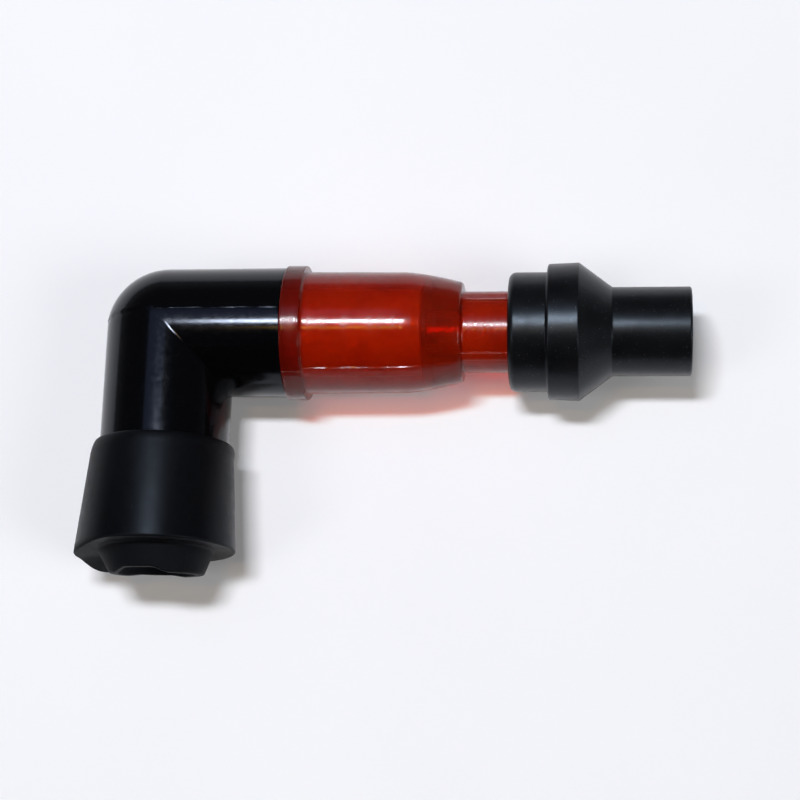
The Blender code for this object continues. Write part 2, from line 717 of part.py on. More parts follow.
def set_down(root):
    """Turns the cap onto its three rims, with the origin at the middle of its foot."""
    root.rotation_mode = "QUATERNION"
    root.rotation_quaternion = rest_normal().rotation_difference(Vector((0, 0, 1)))
    bpy.context.view_layer.update()
    graph = bpy.context.evaluated_depsgraph_get()
    corners = []
    for obj in parts.objects:
        if obj.type == "EMPTY":
            continue
        evaluated = obj.evaluated_get(graph)
        mesh = evaluated.to_mesh()
        corners += [evaluated.matrix_world @ vertex.co for vertex in mesh.vertices]
        evaluated.to_mesh_clear()
    lows = [min(corner[axis] for corner in corners) for axis in range(3)]
    highs = [max(corner[axis] for corner in corners) for axis in range(3)]
    root.location = (-(lows[0] + highs[0]) / 2, -(lows[1] + highs[1]) / 2, -lows[2])
    bpy.context.view_layer.update()


clear_scene()
parts = new_collection("spark_plug_cap")
helpers = new_collection("cutters")

black_phenolic = new_material("black_phenolic", (0.012, 0.012, 0.013), 0.18)
red_polycarbonate = new_material("red_polycarbonate", (0.30, 0.008, 0.002), 0.12, transmission=0.6)
black_rubber = new_material("black_rubber", (0.012, 0.013, 0.014), 0.55)
brass = new_material("brass", (0.60, 0.42, 0.16), 0.30, metallic=1.0)
spring_steel = new_material("spring_steel", (0.45, 0.45, 0.46), 0.30, metallic=1.0)
white_ceramic = new_material("white_ceramic", (0.72, 0.70, 0.64), 0.35)
white_nylon = new_material("white_nylon", (0.70, 0.68, 0.60), 0.45)

cap_frame = new_axis("cap_frame", None, (0, 0, 0))
lead_axis = new_axis("lead_axis", cap_frame, (0, math.radians(90), 0))
plug_axis = new_axis("plug_axis", cap_frame, (math.radians(90), 0, 0))

make_elbow()
make_boot()
make_socket()
make_contact()
make_spring()
make_resistor()
make_barrel()
make_o_ring()
make_lead_screw()
make_seal()
set_down(cap_frame)
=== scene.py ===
"""Dresses a right-angle resistor cap for a spark plug and sets it on a pale studio floor.

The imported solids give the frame. The elbow, the red barrel, the boot, the seal and the sleeve are
modelled again in finer detail around it, and the other pieces keep their solids under new finishes.
Sizes of the cap and of patterns are in millimetres, and those of the lamps and the floor in metres.
Pieces are modelled with the lead axis along +X, the plug axis along -Y and the corner where they cross
at the origin, and are then moved to the cap's place at rest.
"""

from __future__ import annotations

import logging
import math
import random
from dataclasses import dataclass
from enum import Enum
from typing import Callable, Sequence

import bmesh
import bpy
from mathutils import Matrix, Vector

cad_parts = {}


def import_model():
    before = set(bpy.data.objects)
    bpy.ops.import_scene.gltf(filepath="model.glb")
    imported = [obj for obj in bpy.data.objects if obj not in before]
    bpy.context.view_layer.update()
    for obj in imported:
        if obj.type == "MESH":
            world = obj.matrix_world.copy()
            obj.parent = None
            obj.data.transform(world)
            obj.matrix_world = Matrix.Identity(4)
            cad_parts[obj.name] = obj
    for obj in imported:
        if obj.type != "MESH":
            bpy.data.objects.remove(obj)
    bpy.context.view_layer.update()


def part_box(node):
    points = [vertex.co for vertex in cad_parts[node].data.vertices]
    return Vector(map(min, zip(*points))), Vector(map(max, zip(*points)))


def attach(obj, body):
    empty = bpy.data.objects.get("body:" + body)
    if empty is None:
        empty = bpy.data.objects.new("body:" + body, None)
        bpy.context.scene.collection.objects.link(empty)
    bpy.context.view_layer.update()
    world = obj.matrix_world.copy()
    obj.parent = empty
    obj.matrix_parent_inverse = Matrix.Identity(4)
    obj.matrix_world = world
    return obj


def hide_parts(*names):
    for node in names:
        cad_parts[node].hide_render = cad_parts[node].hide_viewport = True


LOG = logging.getLogger("spark_plug_cap")

MM = 0.001
WELD = 0.0005 * MM
OVERCUT = 1.0
SMOOTH_ANGLE = math.radians(32)

# The most of an outline's stretch that a rounding at one of its ends takes up.
ROUNDED_SHARE = 0.49

# How far large faces outweigh small ones in the shading, from 1 to 100.
FACE_WEIGHT = 100

BODY = "root"

# The sockets that a Map Range node spreads from and to, and those of a Mix node's two colours.
FROM = ("From Min", "From Max")
TO = ("To Min", "To Max")
COLOURS = (6, 7)

# Noise seldom leaves this range, so patterns are spread from it.
NOISE_RANGE = (0.3, 0.7)

Point = tuple[float, float]
Span = tuple[float, float]


class Axis(Enum):
    """An axis that pieces are turned about."""

    LEAD = (1, 0, 0)
    PLUG = (0, -1, 0)

    @property
    def along(self) -> Vector:
        """The direction in which places along the axis grow."""
        return Vector(self.value)

    def radial(self, angle: float) -> Vector:
        """The outward direction at an angle about the axis, in radians from straight up."""
        return Matrix.Rotation(angle, 3, self.along) @ Vector((0, 0, 1))


class Part(Enum):
    """What a selection in edit mode holds."""

    VERTS = "VERT"
    EDGES = "EDGE"
    FACES = "FACE"


class Cut(Enum):
    """What a Boolean does with the other mesh."""

    TAKE = "DIFFERENCE"
    JOIN = "UNION"


@dataclass(frozen=True)
class Corner:
    """A corner of a turned piece's outline: its radius, its place along the axis and its rounding."""

    radius: float
    along: float
    rounding: float = 0.0


@dataclass(frozen=True)
class Ridge:
    """The fine ridge that a mould's joint leaves.

    Its height strays by up to wander times itself, by draws that start from the seed. The skin on one
    side of it may stand a step higher.
    """

    width: float
    height: float
    wander: float
    seed: int
    step: float = 0.0


def trace(corners: Sequence[Corner | Point], closed: bool, steps: int = 6) -> list[Point]:
    """Turns an outline's corners into points, with the rounded ones as arcs.

    Args:
        corners: The corners in order; a bare pair is a corner that stays sharp.
        closed: Whether the last corner joins the first.
        steps: How many stretches an arc has.

    Returns:
        The outline's points as (radius, place along the axis).
    """
    full = [corner if isinstance(corner, Corner) else Corner(*corner) for corner in corners]
    places = [Vector((corner.radius, corner.along)) for corner in full]
    points: list[Point] = []
    for index, corner in enumerate(full):
        here = places[index]
        if not corner.rounding or (not closed and index in (0, len(full) - 1)):
            points.append(tuple(here))
            continue
        back = places[index - 1] - here
        ahead = places[(index + 1) % len(full)] - here
        half = back.angle(ahead) / 2
        room = ROUNDED_SHARE * min(back.length, ahead.length)
        tangent = min(corner.rounding / math.tan(half), room)
        radius = tangent * math.tan(half)
        centre = here + (back.normalized() + ahead.normalized()).normalized() * (radius / math.sin(half))
        first = (here + back.normalized() * tangent - centre).normalized()
        last = (here + ahead.normalized() * tangent - centre).normalized()
        for step in range(steps + 1):
            points.append(tuple(centre + first.slerp(last, step / steps) * radius))
    return points


def ramp(value: float, start: float, end: float) -> float:
    """How far a value has come from start to end, eased to a soft S and held at 0 and 1 beyond."""
    share = min(max((value - start) / (end - start), 0.0), 1.0)
    return share * share * (3 - 2 * share)


def draw_in(narrow: Point, wide: Point, power: float = 1.4, steps: int = 10) -> list[Point]:
    """Curves an outline from a narrow place to a wide one, falling away ever faster from the wide one.

    Args:
        narrow: The narrow place, which isn't among the points.
        wide: The wide place, which isn't either.
        power: How much faster it falls away with distance; 1 is a straight cone.
        steps: How many stretches the curve has.

    Returns:
        The points between the two places, from the narrow one.
    """
    points = []
    for step in range(1, steps):
        share = 1 - step / steps
        radius = wide[0] + (narrow[0] - wide[0]) * share**power
        points.append((radius, wide[1] + (narrow[1] - wide[1]) * share))
    return points


def quarter(inner: Point, outer: Point, steps: int = 10) -> list[Point]:
    """Rounds an outline by a quarter ellipse.

    Args:
        inner: The end that it meets square to the axis.
        outer: The end that it leaves along the axis.
        steps: How many stretches the curve has.

    Returns:
        The points from the outer end to the inner one, both included.
    """
    points = []
    for step in range(steps + 1):
        angle = math.pi / 2 * step / steps
        radius = inner[0] + (outer[0] - inner[0]) * math.cos(angle)
        points.append((radius, outer[1] + (inner[1] - outer[1]) * math.sin(angle)))
    return points


class Workbench:
    """The bpy.ops steps that pieces are modelled with."""

    @staticmethod
    def only(obj: bpy.types.Object) -> None:
        """Leaves one object selected and active.

        Args:
            obj: The object.
        """
        bpy.ops.object.select_all(action="DESELECT")
        obj.select_set(True)
        bpy.context.view_layer.objects.active = obj

    @classmethod
    def edit(cls, obj: bpy.types.Object) -> None:
        """Opens an object in edit mode with nothing selected.

        Args:
            obj: The object.
        """
        cls.only(obj)
        bpy.ops.object.mode_set(mode="EDIT")
        bpy.ops.mesh.select_all(action="DESELECT")

    @staticmethod
    def close() -> None:
        """Leaves edit mode."""
        bpy.ops.object.mode_set(mode="OBJECT")

    @staticmethod
    def select(obj: bpy.types.Object, part: Part, test: Callable[[Vector], bool]) -> None:
        """Selects the parts of a mesh in edit mode whose every vertex passes a test, and no others.

        Args:
            obj: The object that is open in edit mode.
            part: Vertices, edges or faces.
            test: Takes a vertex's place and says whether it counts.
        """
        bpy.ops.mesh.select_mode(type=part.value)
        bpy.ops.mesh.select_all(action="DESELECT")
        mesh = bmesh.from_edit_mesh(obj.data)
        passed = {vertex for vertex in mesh.verts if test(vertex.co)}
        if part is Part.VERTS:
            for vertex in passed:
                vertex.select_set(True)
        else:
            for item in mesh.edges if part is Part.EDGES else mesh.faces:
                if all(vertex in passed for vertex in item.verts):
                    item.select_set(True)
        mesh.select_flush_mode()
        bmesh.update_edit_mesh(obj.data)

    @staticmethod
    def knit() -> None:
        """Merges doubles and points all faces outwards, in edit mode."""
        bpy.ops.mesh.select_all(action="SELECT")
        bpy.ops.mesh.remove_doubles(threshold=WELD)
        bpy.ops.mesh.normals_make_consistent(inside=False)

    @classmethod
    def spin(
        cls,
        name: str,
        outline: Sequence[Point],
        axis: Axis,
        sides: int,
        start: float = 0.0,
        closed: bool = True,
    ) -> bpy.types.Object:
        """Draws an outline point by point and spins it once about an axis.

        Args:
            name: The piece's name.
            outline: Points as (radius, place along the axis).
            axis: The axis to spin about.
            sides: How many sides the piece gets.
            start: The angle at which the outline is drawn, in radians.
            closed: Whether the outline is a ring round a pierced piece's wall. One that isn't starts
                and ends on the axis.

        Returns:
            The new object.
        """
        spoke = axis.radial(start)
        places = [(spoke * radius + axis.along * along) * MM for radius, along in outline]
        bpy.ops.object.select_all(action="DESELECT")
        bpy.ops.mesh.primitive_plane_add(size=MM, location=places[0])
        obj = bpy.context.active_object
        obj.name = obj.data.name = name
        bpy.ops.object.transform_apply(location=True, rotation=True, scale=True)
        cls.edit(obj)
        bpy.ops.mesh.select_mode(type=Part.VERTS.value)
        bpy.ops.mesh.select_all(action="SELECT")
        bpy.ops.mesh.merge(type="CENTER")
        for here, ahead in zip(places, places[1:]):
            bpy.ops.mesh.extrude_region_move(TRANSFORM_OT_translate={"value": ahead - here})
        if closed:
            ends = (places[0], places[-1])
            cls.select(obj, Part.VERTS, lambda co: min((co - end).length for end in ends) < WELD)
            bpy.ops.mesh.edge_face_add()
        bpy.ops.mesh.select_all(action="SELECT")
        bpy.ops.mesh.spin(steps=sides, angle=math.tau, center=(0, 0, 0), axis=axis.along)
        cls.knit()
        cls.close()
        return obj

    @classmethod
    def carve(cls, obj: bpy.types.Object, other: bpy.types.Object, cut: Cut) -> None:
        """Takes another mesh out of a piece, or joins it on, and removes the other object.

        Args:
            obj: The piece.
            other: The object whose mesh is taken out or joined on.
            cut: Which of the two.
        """
        cls.only(obj)
        modifier = obj.modifiers.new(other.name, "BOOLEAN")
        modifier.operation = cut.value
        modifier.solver = "EXACT"
        modifier.object = other
        bpy.ops.object.modifier_apply(modifier=modifier.name)
        bpy.data.objects.remove(other, do_unlink=True)

    @classmethod
    def raise_line(
        cls,
        obj: bpy.types.Object,
        centre: Vector,
        normal: Vector,
        ridge: Ridge,
        counts: Callable[[Vector], bool],
    ) -> None:
        """Raises a ridge where a plane crosses a piece's skin, and its step on the normal's side.

        Args:
            obj: The piece.
            centre: A point of the plane, in metres.
            normal: The plane's normal.
            ridge: The ridge and its step.
            counts: Whether a place of the piece, in metres, takes part.
        """
        near = WELD * 2
        height = ridge.height * MM
        cls.edit(obj)
        bpy.ops.mesh.select_all(action="SELECT")
        bpy.ops.mesh.bisect(plane_co=centre, plane_no=normal)
        cls.select(obj, Part.EDGES, lambda co: abs((co - centre).dot(normal)) < near and counts(co))
        bpy.ops.mesh.bevel(offset=ridge.width * MM / 2, offset_type="OFFSET", segments=2, affect="EDGES")
        if ridge.step:
            cls.select(obj, Part.FACES, lambda co: (co - centre).dot(normal) > near and counts(co))
            bpy.ops.transform.shrink_fatten(value=ridge.step * MM)
        cls.select(obj, Part.VERTS, lambda co: abs((co - centre).dot(normal)) < near and counts(co))
        bpy.ops.transform.shrink_fatten(value=height)
        mesh = bmesh.from_edit_mesh(obj.data)
        draws = random.Random(ridge.seed)
        crest = [vertex for vertex in mesh.verts if vertex.select]
        for vertex in sorted(crest, key=lambda vertex: tuple(vertex.co)):
            vertex.co += vertex.normal * height * draws.uniform(-ridge.wander, ridge.wander)
        bmesh.update_edit_mesh(obj.data)
        cls.close()

    @classmethod
    def finish(cls, obj: bpy.types.Object, place: Matrix) -> None:
        """Shades a piece smooth and moves its mesh to the cap's place, with its object at the origin.

        Args:
            obj: The piece.
            place: The move from the modelling axes to the frame's.
        """
        cls.only(obj)
        bpy.ops.object.shade_smooth_by_angle(angle=SMOOTH_ANGLE)
        weighted = obj.modifiers.new("even_shading", "WEIGHTED_NORMAL")
        weighted.keep_sharp = True
        weighted.weight = FACE_WEIGHT
        bpy.ops.object.modifier_apply(modifier=weighted.name)
        obj.matrix_world = place
        bpy.ops.object.transform_apply(location=True, rotation=True, scale=True)


@dataclass(frozen=True)
class Rest:
    """How the cap lies on the floor: on the flange's and the collar's rims and the boot's rim."""

    flange_radius: float = 10.8
    flange_rim: float = 19.55
    collar_radius: float = 10.95
    collar_rim: float = 65.4
    boot_radius: float = 12.1
    boot_rim: float = 35.25
    ring_place: float = 18.7

    def turn(self) -> Matrix:
        """Works out how the cap is tipped.

        Returns:
            The rotation from the modelling axes to the cap's own at rest.
        """
        lead_rise = math.atan((self.collar_radius - self.flange_radius) / (self.collar_rim - self.flange_rim))
        height = self.flange_radius * math.cos(lead_rise) - self.flange_rim * math.sin(lead_rise)
        reach = math.hypot(self.boot_rim, self.boot_radius)
        plug_rise = math.acos(height / reach) - math.atan2(self.boot_rim, self.boot_radius)
        along_lead, along_plug = math.sin(lead_rise), math.sin(plug_rise)
        upwards = math.sqrt(1 - along_lead**2 - along_plug**2)
        normal = Vector((along_lead, -along_plug, upwards))
        return normal.rotation_difference(Vector((0, 0, 1))).to_matrix()

    def matrix(self) -> Matrix:
        """Works out the cap's place from the solid O-ring's middle.

        Returns:
            The whole move from the modelling axes to the frame's.
        """
        low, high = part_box("barrel_o_ring")
        turn = self.turn()
        corner = (low + high) / 2 - turn @ Vector((self.ring_place * MM, 0, 0))
        return Matrix.Translation(corner) @ turn.to_4x4()


def srgb(code: str) -> tuple[float, float, float, float]:
    """Turns an sRGB hex colour to linear.

    Args:
        code: The colour, such as "#A01E02".

    Returns:
        Its linear red, green, blue and alpha.
    """
    shares = [int(code[start : start + 2], 16) / 255 for start in (1, 3, 5)]
    linear = [share / 12.92 if share <= 0.04045 else ((share + 0.055) / 1.055) ** 2.4 for share in shares]
    return (*linear, 1.0)


def per(size: float) -> float:
    """The noise scale that makes features of about a size in millimetres."""
    return 1 / (size * MM)


def metres(span: Span) -> Span:
    """A span in millimetres, turned to metres."""
    return (span[0] * MM, span[1] * MM)


def add_node(
    tree: bpy.types.NodeTree,
    kind: str,
    sockets: dict[str | int | tuple, object] | None = None,
    **settings: object,
) -> bpy.types.Node:
    """Adds a node with its settings, values and links.

    Args:
        tree: The tree that the node goes into.
        kind: The node's type, after its first word ShaderNode.
        sockets: Inputs by name or number, or a few together as a tuple with a tuple of what they get.
            An output is linked, so is a node's first output in use, and anything else is a value.
        **settings: The node's own properties.

    Returns:
        The new node.
    """
    node = tree.nodes.new("ShaderNode" + kind)
    for name, value in settings.items():
        setattr(node, name, value)
    for keys, values in (sockets or {}).items():
        for key, value in zip(keys, values) if isinstance(keys, tuple) else ((keys, values),):
            if isinstance(value, bpy.types.Node):
                value = next(output for output in value.outputs if output.enabled)
            if isinstance(value, bpy.types.NodeSocket):
                tree.links.new(value, node.inputs[key])
            else:
                node.inputs[key].default_value = value
    return node


@dataclass(frozen=True)
class Finish:
    """What every finish shares: a name, and coordinates that follow the cap's own axes.

    In the finishes below, a field named for a pattern is the size of its features.
    """

    name: str

    def open(self) -> tuple[bpy.types.NodeTree, bpy.types.Material]:
        """Starts the material.

        Returns:
            Its empty node tree, and the material.
        """
        material = bpy.data.materials.new(self.name)
        material.use_nodes = True
        material.node_tree.nodes.clear()
        return material.node_tree, material

    def place(self, tree: bpy.types.NodeTree, axis: Axis, stretch: float | None = None) -> bpy.types.Node:
        """Turns and centres object coordinates on the cap's axes, so that X runs along the given one.

        Args:
            tree: The material's tree.
            axis: The axis that X follows.
            stretch: How many times longer a pattern is drawn across the axis than along it.

        Returns:
            The node that gives the coordinates.
        """
        swing = Matrix.Identity(4)
        if axis is Axis.PLUG:
            swing = Matrix.Rotation(math.radians(90), 4, "Z")
        back = swing @ Rest().matrix().inverted()
        where = add_node(tree, "TexCoord").outputs["Object"]
        move = {"Vector": where, "Location": back.to_translation(), "Rotation": back.to_euler()}
        mapped = add_node(tree, "Mapping", move)
        if stretch is None:
            return mapped
        return add_node(tree, "VectorMath", {0: mapped, 1: (1.0, stretch, stretch)}, operation="DIVIDE")


@dataclass(frozen=True)
class Phenolic(Finish):
    """Black phenolic, compression moulded in a polished mould.

    It gives a deep black, a slight orange peel in its highlights and a little dust. Its gloss has a painted
    cold tint, which stands in for cold light in its reflections.
    """

    name: str = "black_phenolic"
    colour: str = "#040405"
    dusty: str = "#101011"
    # Painted reflection colour: this cold tint on the gloss stands in for cold light.
    gloss: str = "#E4EEFF"
    ior: float = 1.52
    level: float = 0.255
    peel: float = 2.6
    peel_depth: float = 0.006
    grit: float = 0.35
    grit_depth: float = 0.001
    dust: float = 0.28
    dust_range: Span = (0.74, 0.80)
    rub: float = 0.7
    smooth: float = 0.10
    rough: float = 0.165

    def make(self) -> bpy.types.Material:
        """Builds the material. The filler's grit and the dust, of 0.05 mm, are drawn coarser to show.

        Returns:
            The material.
        """
        tree, material = self.open()
        where = self.place(tree, Axis.LEAD)
        peel = add_node(tree, "TexNoise", {"Vector": where, "Scale": per(self.peel), "Detail": 2.0})
        waves = add_node(tree, "Bump", {"Height": peel, "Distance": self.peel_depth * MM})
        grit = add_node(tree, "TexNoise", {"Vector": where, "Scale": per(self.grit), "Detail": 2.0})
        skin = add_node(tree, "Bump", {"Height": grit, "Distance": self.grit_depth * MM, "Normal": waves})
        dust = add_node(tree, "TexNoise", {"Vector": where, "Scale": per(self.dust), "Detail": 0.0})
        specks = add_node(tree, "MapRange", {"Value": dust, FROM: self.dust_range})
        colours = (srgb(self.colour), srgb(self.dusty))
        rub = add_node(tree, "TexNoise", {"Vector": where, "Scale": per(self.rub), "Detail": 4.0})
        shader = add_node(
            tree,
            "BsdfPrincipled",
            {
                "Base Color": add_node(tree, "Mix", {0: specks, COLOURS: colours}, data_type="RGBA"),
                "Roughness": add_node(
                    tree, "MapRange", {"Value": rub, FROM: NOISE_RANGE, TO: (self.smooth, self.rough)}
                ),
                "IOR": self.ior,
                "Specular IOR Level": self.level,
                # Painted reflection colour: tints the reflections cold, in place of cold light.
                "Specular Tint": srgb(self.gloss),
                "Normal": skin,
            },
        )
        add_node(tree, "OutputMaterial", {"Surface": shader})
        return material


@dataclass(frozen=True)
class Polycarbonate(Finish):
    """Red polycarbonate, moulded: clear and polished outside, frosted on its cored inside.

    Light that passes through reddens with the depth of the wall, and a faint milkiness clouds it. The
    flange is milkier and darker, and the neck milkier with a softer gloss.
    """

    name: str = "red_polycarbonate"
    tint: tuple[float, float, float] = (0.895, 0.43, 0.0)
    density: float = 1200.0
    ior: float = 1.375
    haze_colour: str = "#A01E02"
    flange_colour: str = "#6A1005"
    haze_ior: float = 1.46
    haze_level: float = 0.32
    haze: float = 0.42
    flange_haze: float = 0.55
    neck_haze: float = 0.62
    cloud: float = 6.0
    cloud_haze: float = 0.14
    sink: float = 4.5
    sink_depth: float = 0.012
    grain: float = 0.6
    grain_depth: float = 0.0012
    ring: float = 0.5
    ring_stretch: float = 14.0
    ring_range: Span = (0.36, 0.64)
    smooth: float = 0.08
    rough: float = 0.20
    neck_softness: float = 0.055
    frost: float = 0.42
    flange_edge: Span = (22.4, 22.9)
    neck_edge: Span = (47.5, 48.0)
    cavity_edge: Span = (45.0, 45.1)
    cavity_radius: float = 7.4
    bore_radius: float = 4.2

    def inside(self, tree: bpy.types.NodeTree, where: bpy.types.Node) -> bpy.types.Node:
        """Tells the walls of the cavity and the bore from the outside.

        Args:
            tree: The material's tree.
            where: The coordinates along and across the lead axis.

        Returns:
            A node that gives 1 on the inner walls and 0 outside.
        """
        parts = add_node(tree, "SeparateXYZ", {"Vector": where})
        flat = add_node(tree, "CombineXYZ", {"Y": parts.outputs["Y"], "Z": parts.outputs["Z"]})
        radius = add_node(tree, "VectorMath", {0: flat}, operation="LENGTH")
        radii = metres((self.cavity_radius, self.bore_radius))
        walls = {"Value": parts.outputs["X"], FROM: metres(self.cavity_edge), TO: radii}
        limit = add_node(tree, "MapRange", walls)
        return add_node(tree, "Math", {0: radius, 1: limit}, operation="LESS_THAN")

    def polish(self, tree: bpy.types.NodeTree, along: bpy.types.NodeSocket) -> bpy.types.Node:
        """Makes the outside's roughness: fine rings from the mould, which was turned, and a softer neck.

        The rings, 0.1 mm apart, are drawn 0.5 mm apart so that they show.

        Args:
            tree: The material's tree.
            along: The place along the lead axis.

        Returns:
            A node that gives the roughness.
        """
        turned = self.place(tree, Axis.LEAD, self.ring_stretch)
        rings = add_node(tree, "TexNoise", {"Vector": turned, "Scale": per(self.ring), "Detail": 2.0})
        rubbed = {"Value": rings, FROM: self.ring_range, TO: (self.smooth, self.rough)}
        softer = {"Value": along, FROM: metres(self.neck_edge), TO: (0.0, self.neck_softness)}
        pair = [add_node(tree, "MapRange", sockets) for sockets in (rubbed, softer)]
        return add_node(tree, "Math", {(0, 1): pair}, operation="ADD")

    def milkiness(
        self, tree: bpy.types.NodeTree, where: bpy.types.Node, along: bpy.types.NodeSocket
    ) -> bpy.types.Node:
        """Makes the share of haze: more in the flange and the neck, in soft clouds all over.

        Args:
            tree: The material's tree.
            where: The coordinates along and across the lead axis.
            along: The place along the lead axis.

        Returns:
            A node that gives the share.
        """
        cloud = add_node(tree, "TexNoise", {"Vector": where, "Scale": per(self.cloud), "Detail": 2.0})
        flange = {"Value": along, FROM: metres(self.flange_edge), TO: (self.flange_haze, self.haze)}
        neck = {"Value": along, FROM: metres(self.neck_edge), TO: (0.0, self.neck_haze - self.haze)}
        clouds = {"Value": cloud, FROM: NOISE_RANGE, TO: (-self.cloud_haze, self.cloud_haze)}
        whole = add_node(tree, "MapRange", flange)
        for sockets in (neck, clouds):
            more = add_node(tree, "MapRange", sockets)
            whole = add_node(tree, "Math", {0: whole, 1: more}, operation="ADD")
        return whole

    def make(self) -> bpy.types.Material:
        """Builds the material. Lamps shine through its skin, so that they light what lies inside.

        Returns:
            The material.
        """
        tree, material = self.open()
        where = self.place(tree, Axis.LEAD)
        along = add_node(tree, "SeparateXYZ", {"Vector": where}).outputs["X"]
        sinks = add_node(tree, "TexNoise", {"Vector": where, "Scale": per(self.sink), "Detail": 1.0})
        waves = add_node(tree, "Bump", {"Height": sinks, "Distance": self.sink_depth * MM})
        grain = add_node(tree, "TexNoise", {"Vector": where, "Scale": per(self.grain), "Detail": 2.0})
        skin = add_node(tree, "Bump", {"Height": grain, "Distance": self.grain_depth * MM, "Normal": waves})
        polish = self.polish(tree, along)
        frosted = {0: self.inside(tree, where), 1: self.frost, 2: polish}
        glass = add_node(
            tree,
            "BsdfPrincipled",
            {
                "Base Color": (1.0, 1.0, 1.0, 1.0),
                "Roughness": add_node(tree, "Math", frosted, operation="MULTIPLY_ADD"),
                "IOR": self.ior,
                "Transmission Weight": 1.0,
                "Normal": skin,
            },
        )
        past_flange = add_node(tree, "MapRange", {"Value": along, FROM: metres(self.flange_edge)})
        colours = (srgb(self.flange_colour), srgb(self.haze_colour))
        haze = add_node(
            tree,
            "BsdfPrincipled",
            {
                "Base Color": add_node(tree, "Mix", {0: past_flange, COLOURS: colours}, data_type="RGBA"),
                "Roughness": polish,
                "IOR": self.haze_ior,
                "Specular IOR Level": self.haze_level,
                "Normal": skin,
            },
        )
        body = add_node(tree, "MixShader", {0: self.milkiness(tree, where, along), 1: glass, 2: haze})
        shadow = add_node(tree, "LightPath").outputs["Is Shadow Ray"]
        through = add_node(tree, "BsdfTransparent")
        surface = add_node(tree, "MixShader", {0: shadow, 1: body, 2: through})
        depth = add_node(tree, "VolumeAbsorption", {"Color": (*self.tint, 1.0), "Density": self.density})
        add_node(tree, "OutputMaterial", {"Surface": surface, "Volume": depth})
        return material


@dataclass(frozen=True)
class MouldedRubber(Finish):
    """Black rubber, compression moulded in a spark-eroded mould.

    It gives a satin black with a sheen, shallow dents, a fine grain and rare specks of dust. The sheen's cold
    tint is painted, and stands in for cold light in its reflections. It can be duller at its top, which fades
    over one span of the axis, and at its nose, from another on.
    """

    axis: Axis = Axis.LEAD
    colour: str = "#09090A"
    dusty: str = "#404143"
    # Painted reflection colour: this cold tint on the sheen stands in for cold light.
    gloss: str = "#DCEEFF"
    level: float = 0.26
    cloud: float = 5.0
    cloud_dust: float = 0.05
    dust: float = 0.22
    dust_range: Span = (0.775, 0.83)
    dent: float = 3.0
    dent_depth: float = 0.03
    grain: float = 0.25
    grain_depth: float = 0.003
    rub: float = 1.2
    smooth: float = 0.29
    rough: float = 0.34
    top: Span = (21.0, 33.0)
    top_dulling: float = 0.0
    nose: Span = (35.2, 36.2)
    nose_dulling: float = 0.0

    def make(self) -> bpy.types.Material:
        """Builds the material. The grain and the dust, of 0.05 to 0.1 mm, are drawn coarser to show.

        Returns:
            The material.
        """
        tree, material = self.open()
        where = self.place(tree, self.axis)
        cloud = add_node(tree, "TexNoise", {"Vector": where, "Scale": per(self.cloud), "Detail": 3.0})
        film = add_node(tree, "MapRange", {"Value": cloud, FROM: NOISE_RANGE, TO: (0.0, self.cloud_dust)})
        dust = add_node(tree, "TexNoise", {"Vector": where, "Scale": per(self.dust), "Detail": 0.0})
        specks = add_node(tree, "MapRange", {"Value": dust, FROM: self.dust_range})
        marks = add_node(tree, "Math", {0: film, 1: specks}, operation="ADD")
        colours = (srgb(self.colour), srgb(self.dusty))
        dents = add_node(tree, "TexNoise", {"Vector": where, "Scale": per(self.dent), "Detail": 1.0})
        waves = add_node(tree, "Bump", {"Height": dents, "Distance": self.dent_depth * MM})
        grain = add_node(tree, "TexNoise", {"Vector": where, "Scale": per(self.grain), "Detail": 2.0})
        skin = add_node(tree, "Bump", {"Height": grain, "Distance": self.grain_depth * MM, "Normal": waves})
        rub = add_node(tree, "TexNoise", {"Vector": where, "Scale": per(self.rub), "Detail": 2.0})
        rough = add_node(tree, "MapRange", {"Value": rub, FROM: NOISE_RANGE, TO: (self.smooth, self.rough)})
        along = add_node(tree, "SeparateXYZ", {"Vector": where}).outputs["X"]
        for span, dulling in ((self.top, (self.top_dulling, 0.0)), (self.nose, (0.0, self.nose_dulling))):
            duller = add_node(tree, "MapRange", {"Value": along, FROM: metres(span), TO: dulling})
            rough = add_node(tree, "Math", {0: rough, 1: duller}, operation="ADD")
        shader = add_node(
            tree,
            "BsdfPrincipled",
            {
                "Base Color": add_node(tree, "Mix", {0: marks, COLOURS: colours}, data_type="RGBA"),
                "Roughness": rough,
                "Specular IOR Level": self.level,
                # Painted reflection colour: tints the reflections cold, in place of cold light.
                "Specular Tint": srgb(self.gloss),
                "Normal": skin,
            },
        )
        add_node(tree, "OutputMaterial", {"Surface": shader})
        return material


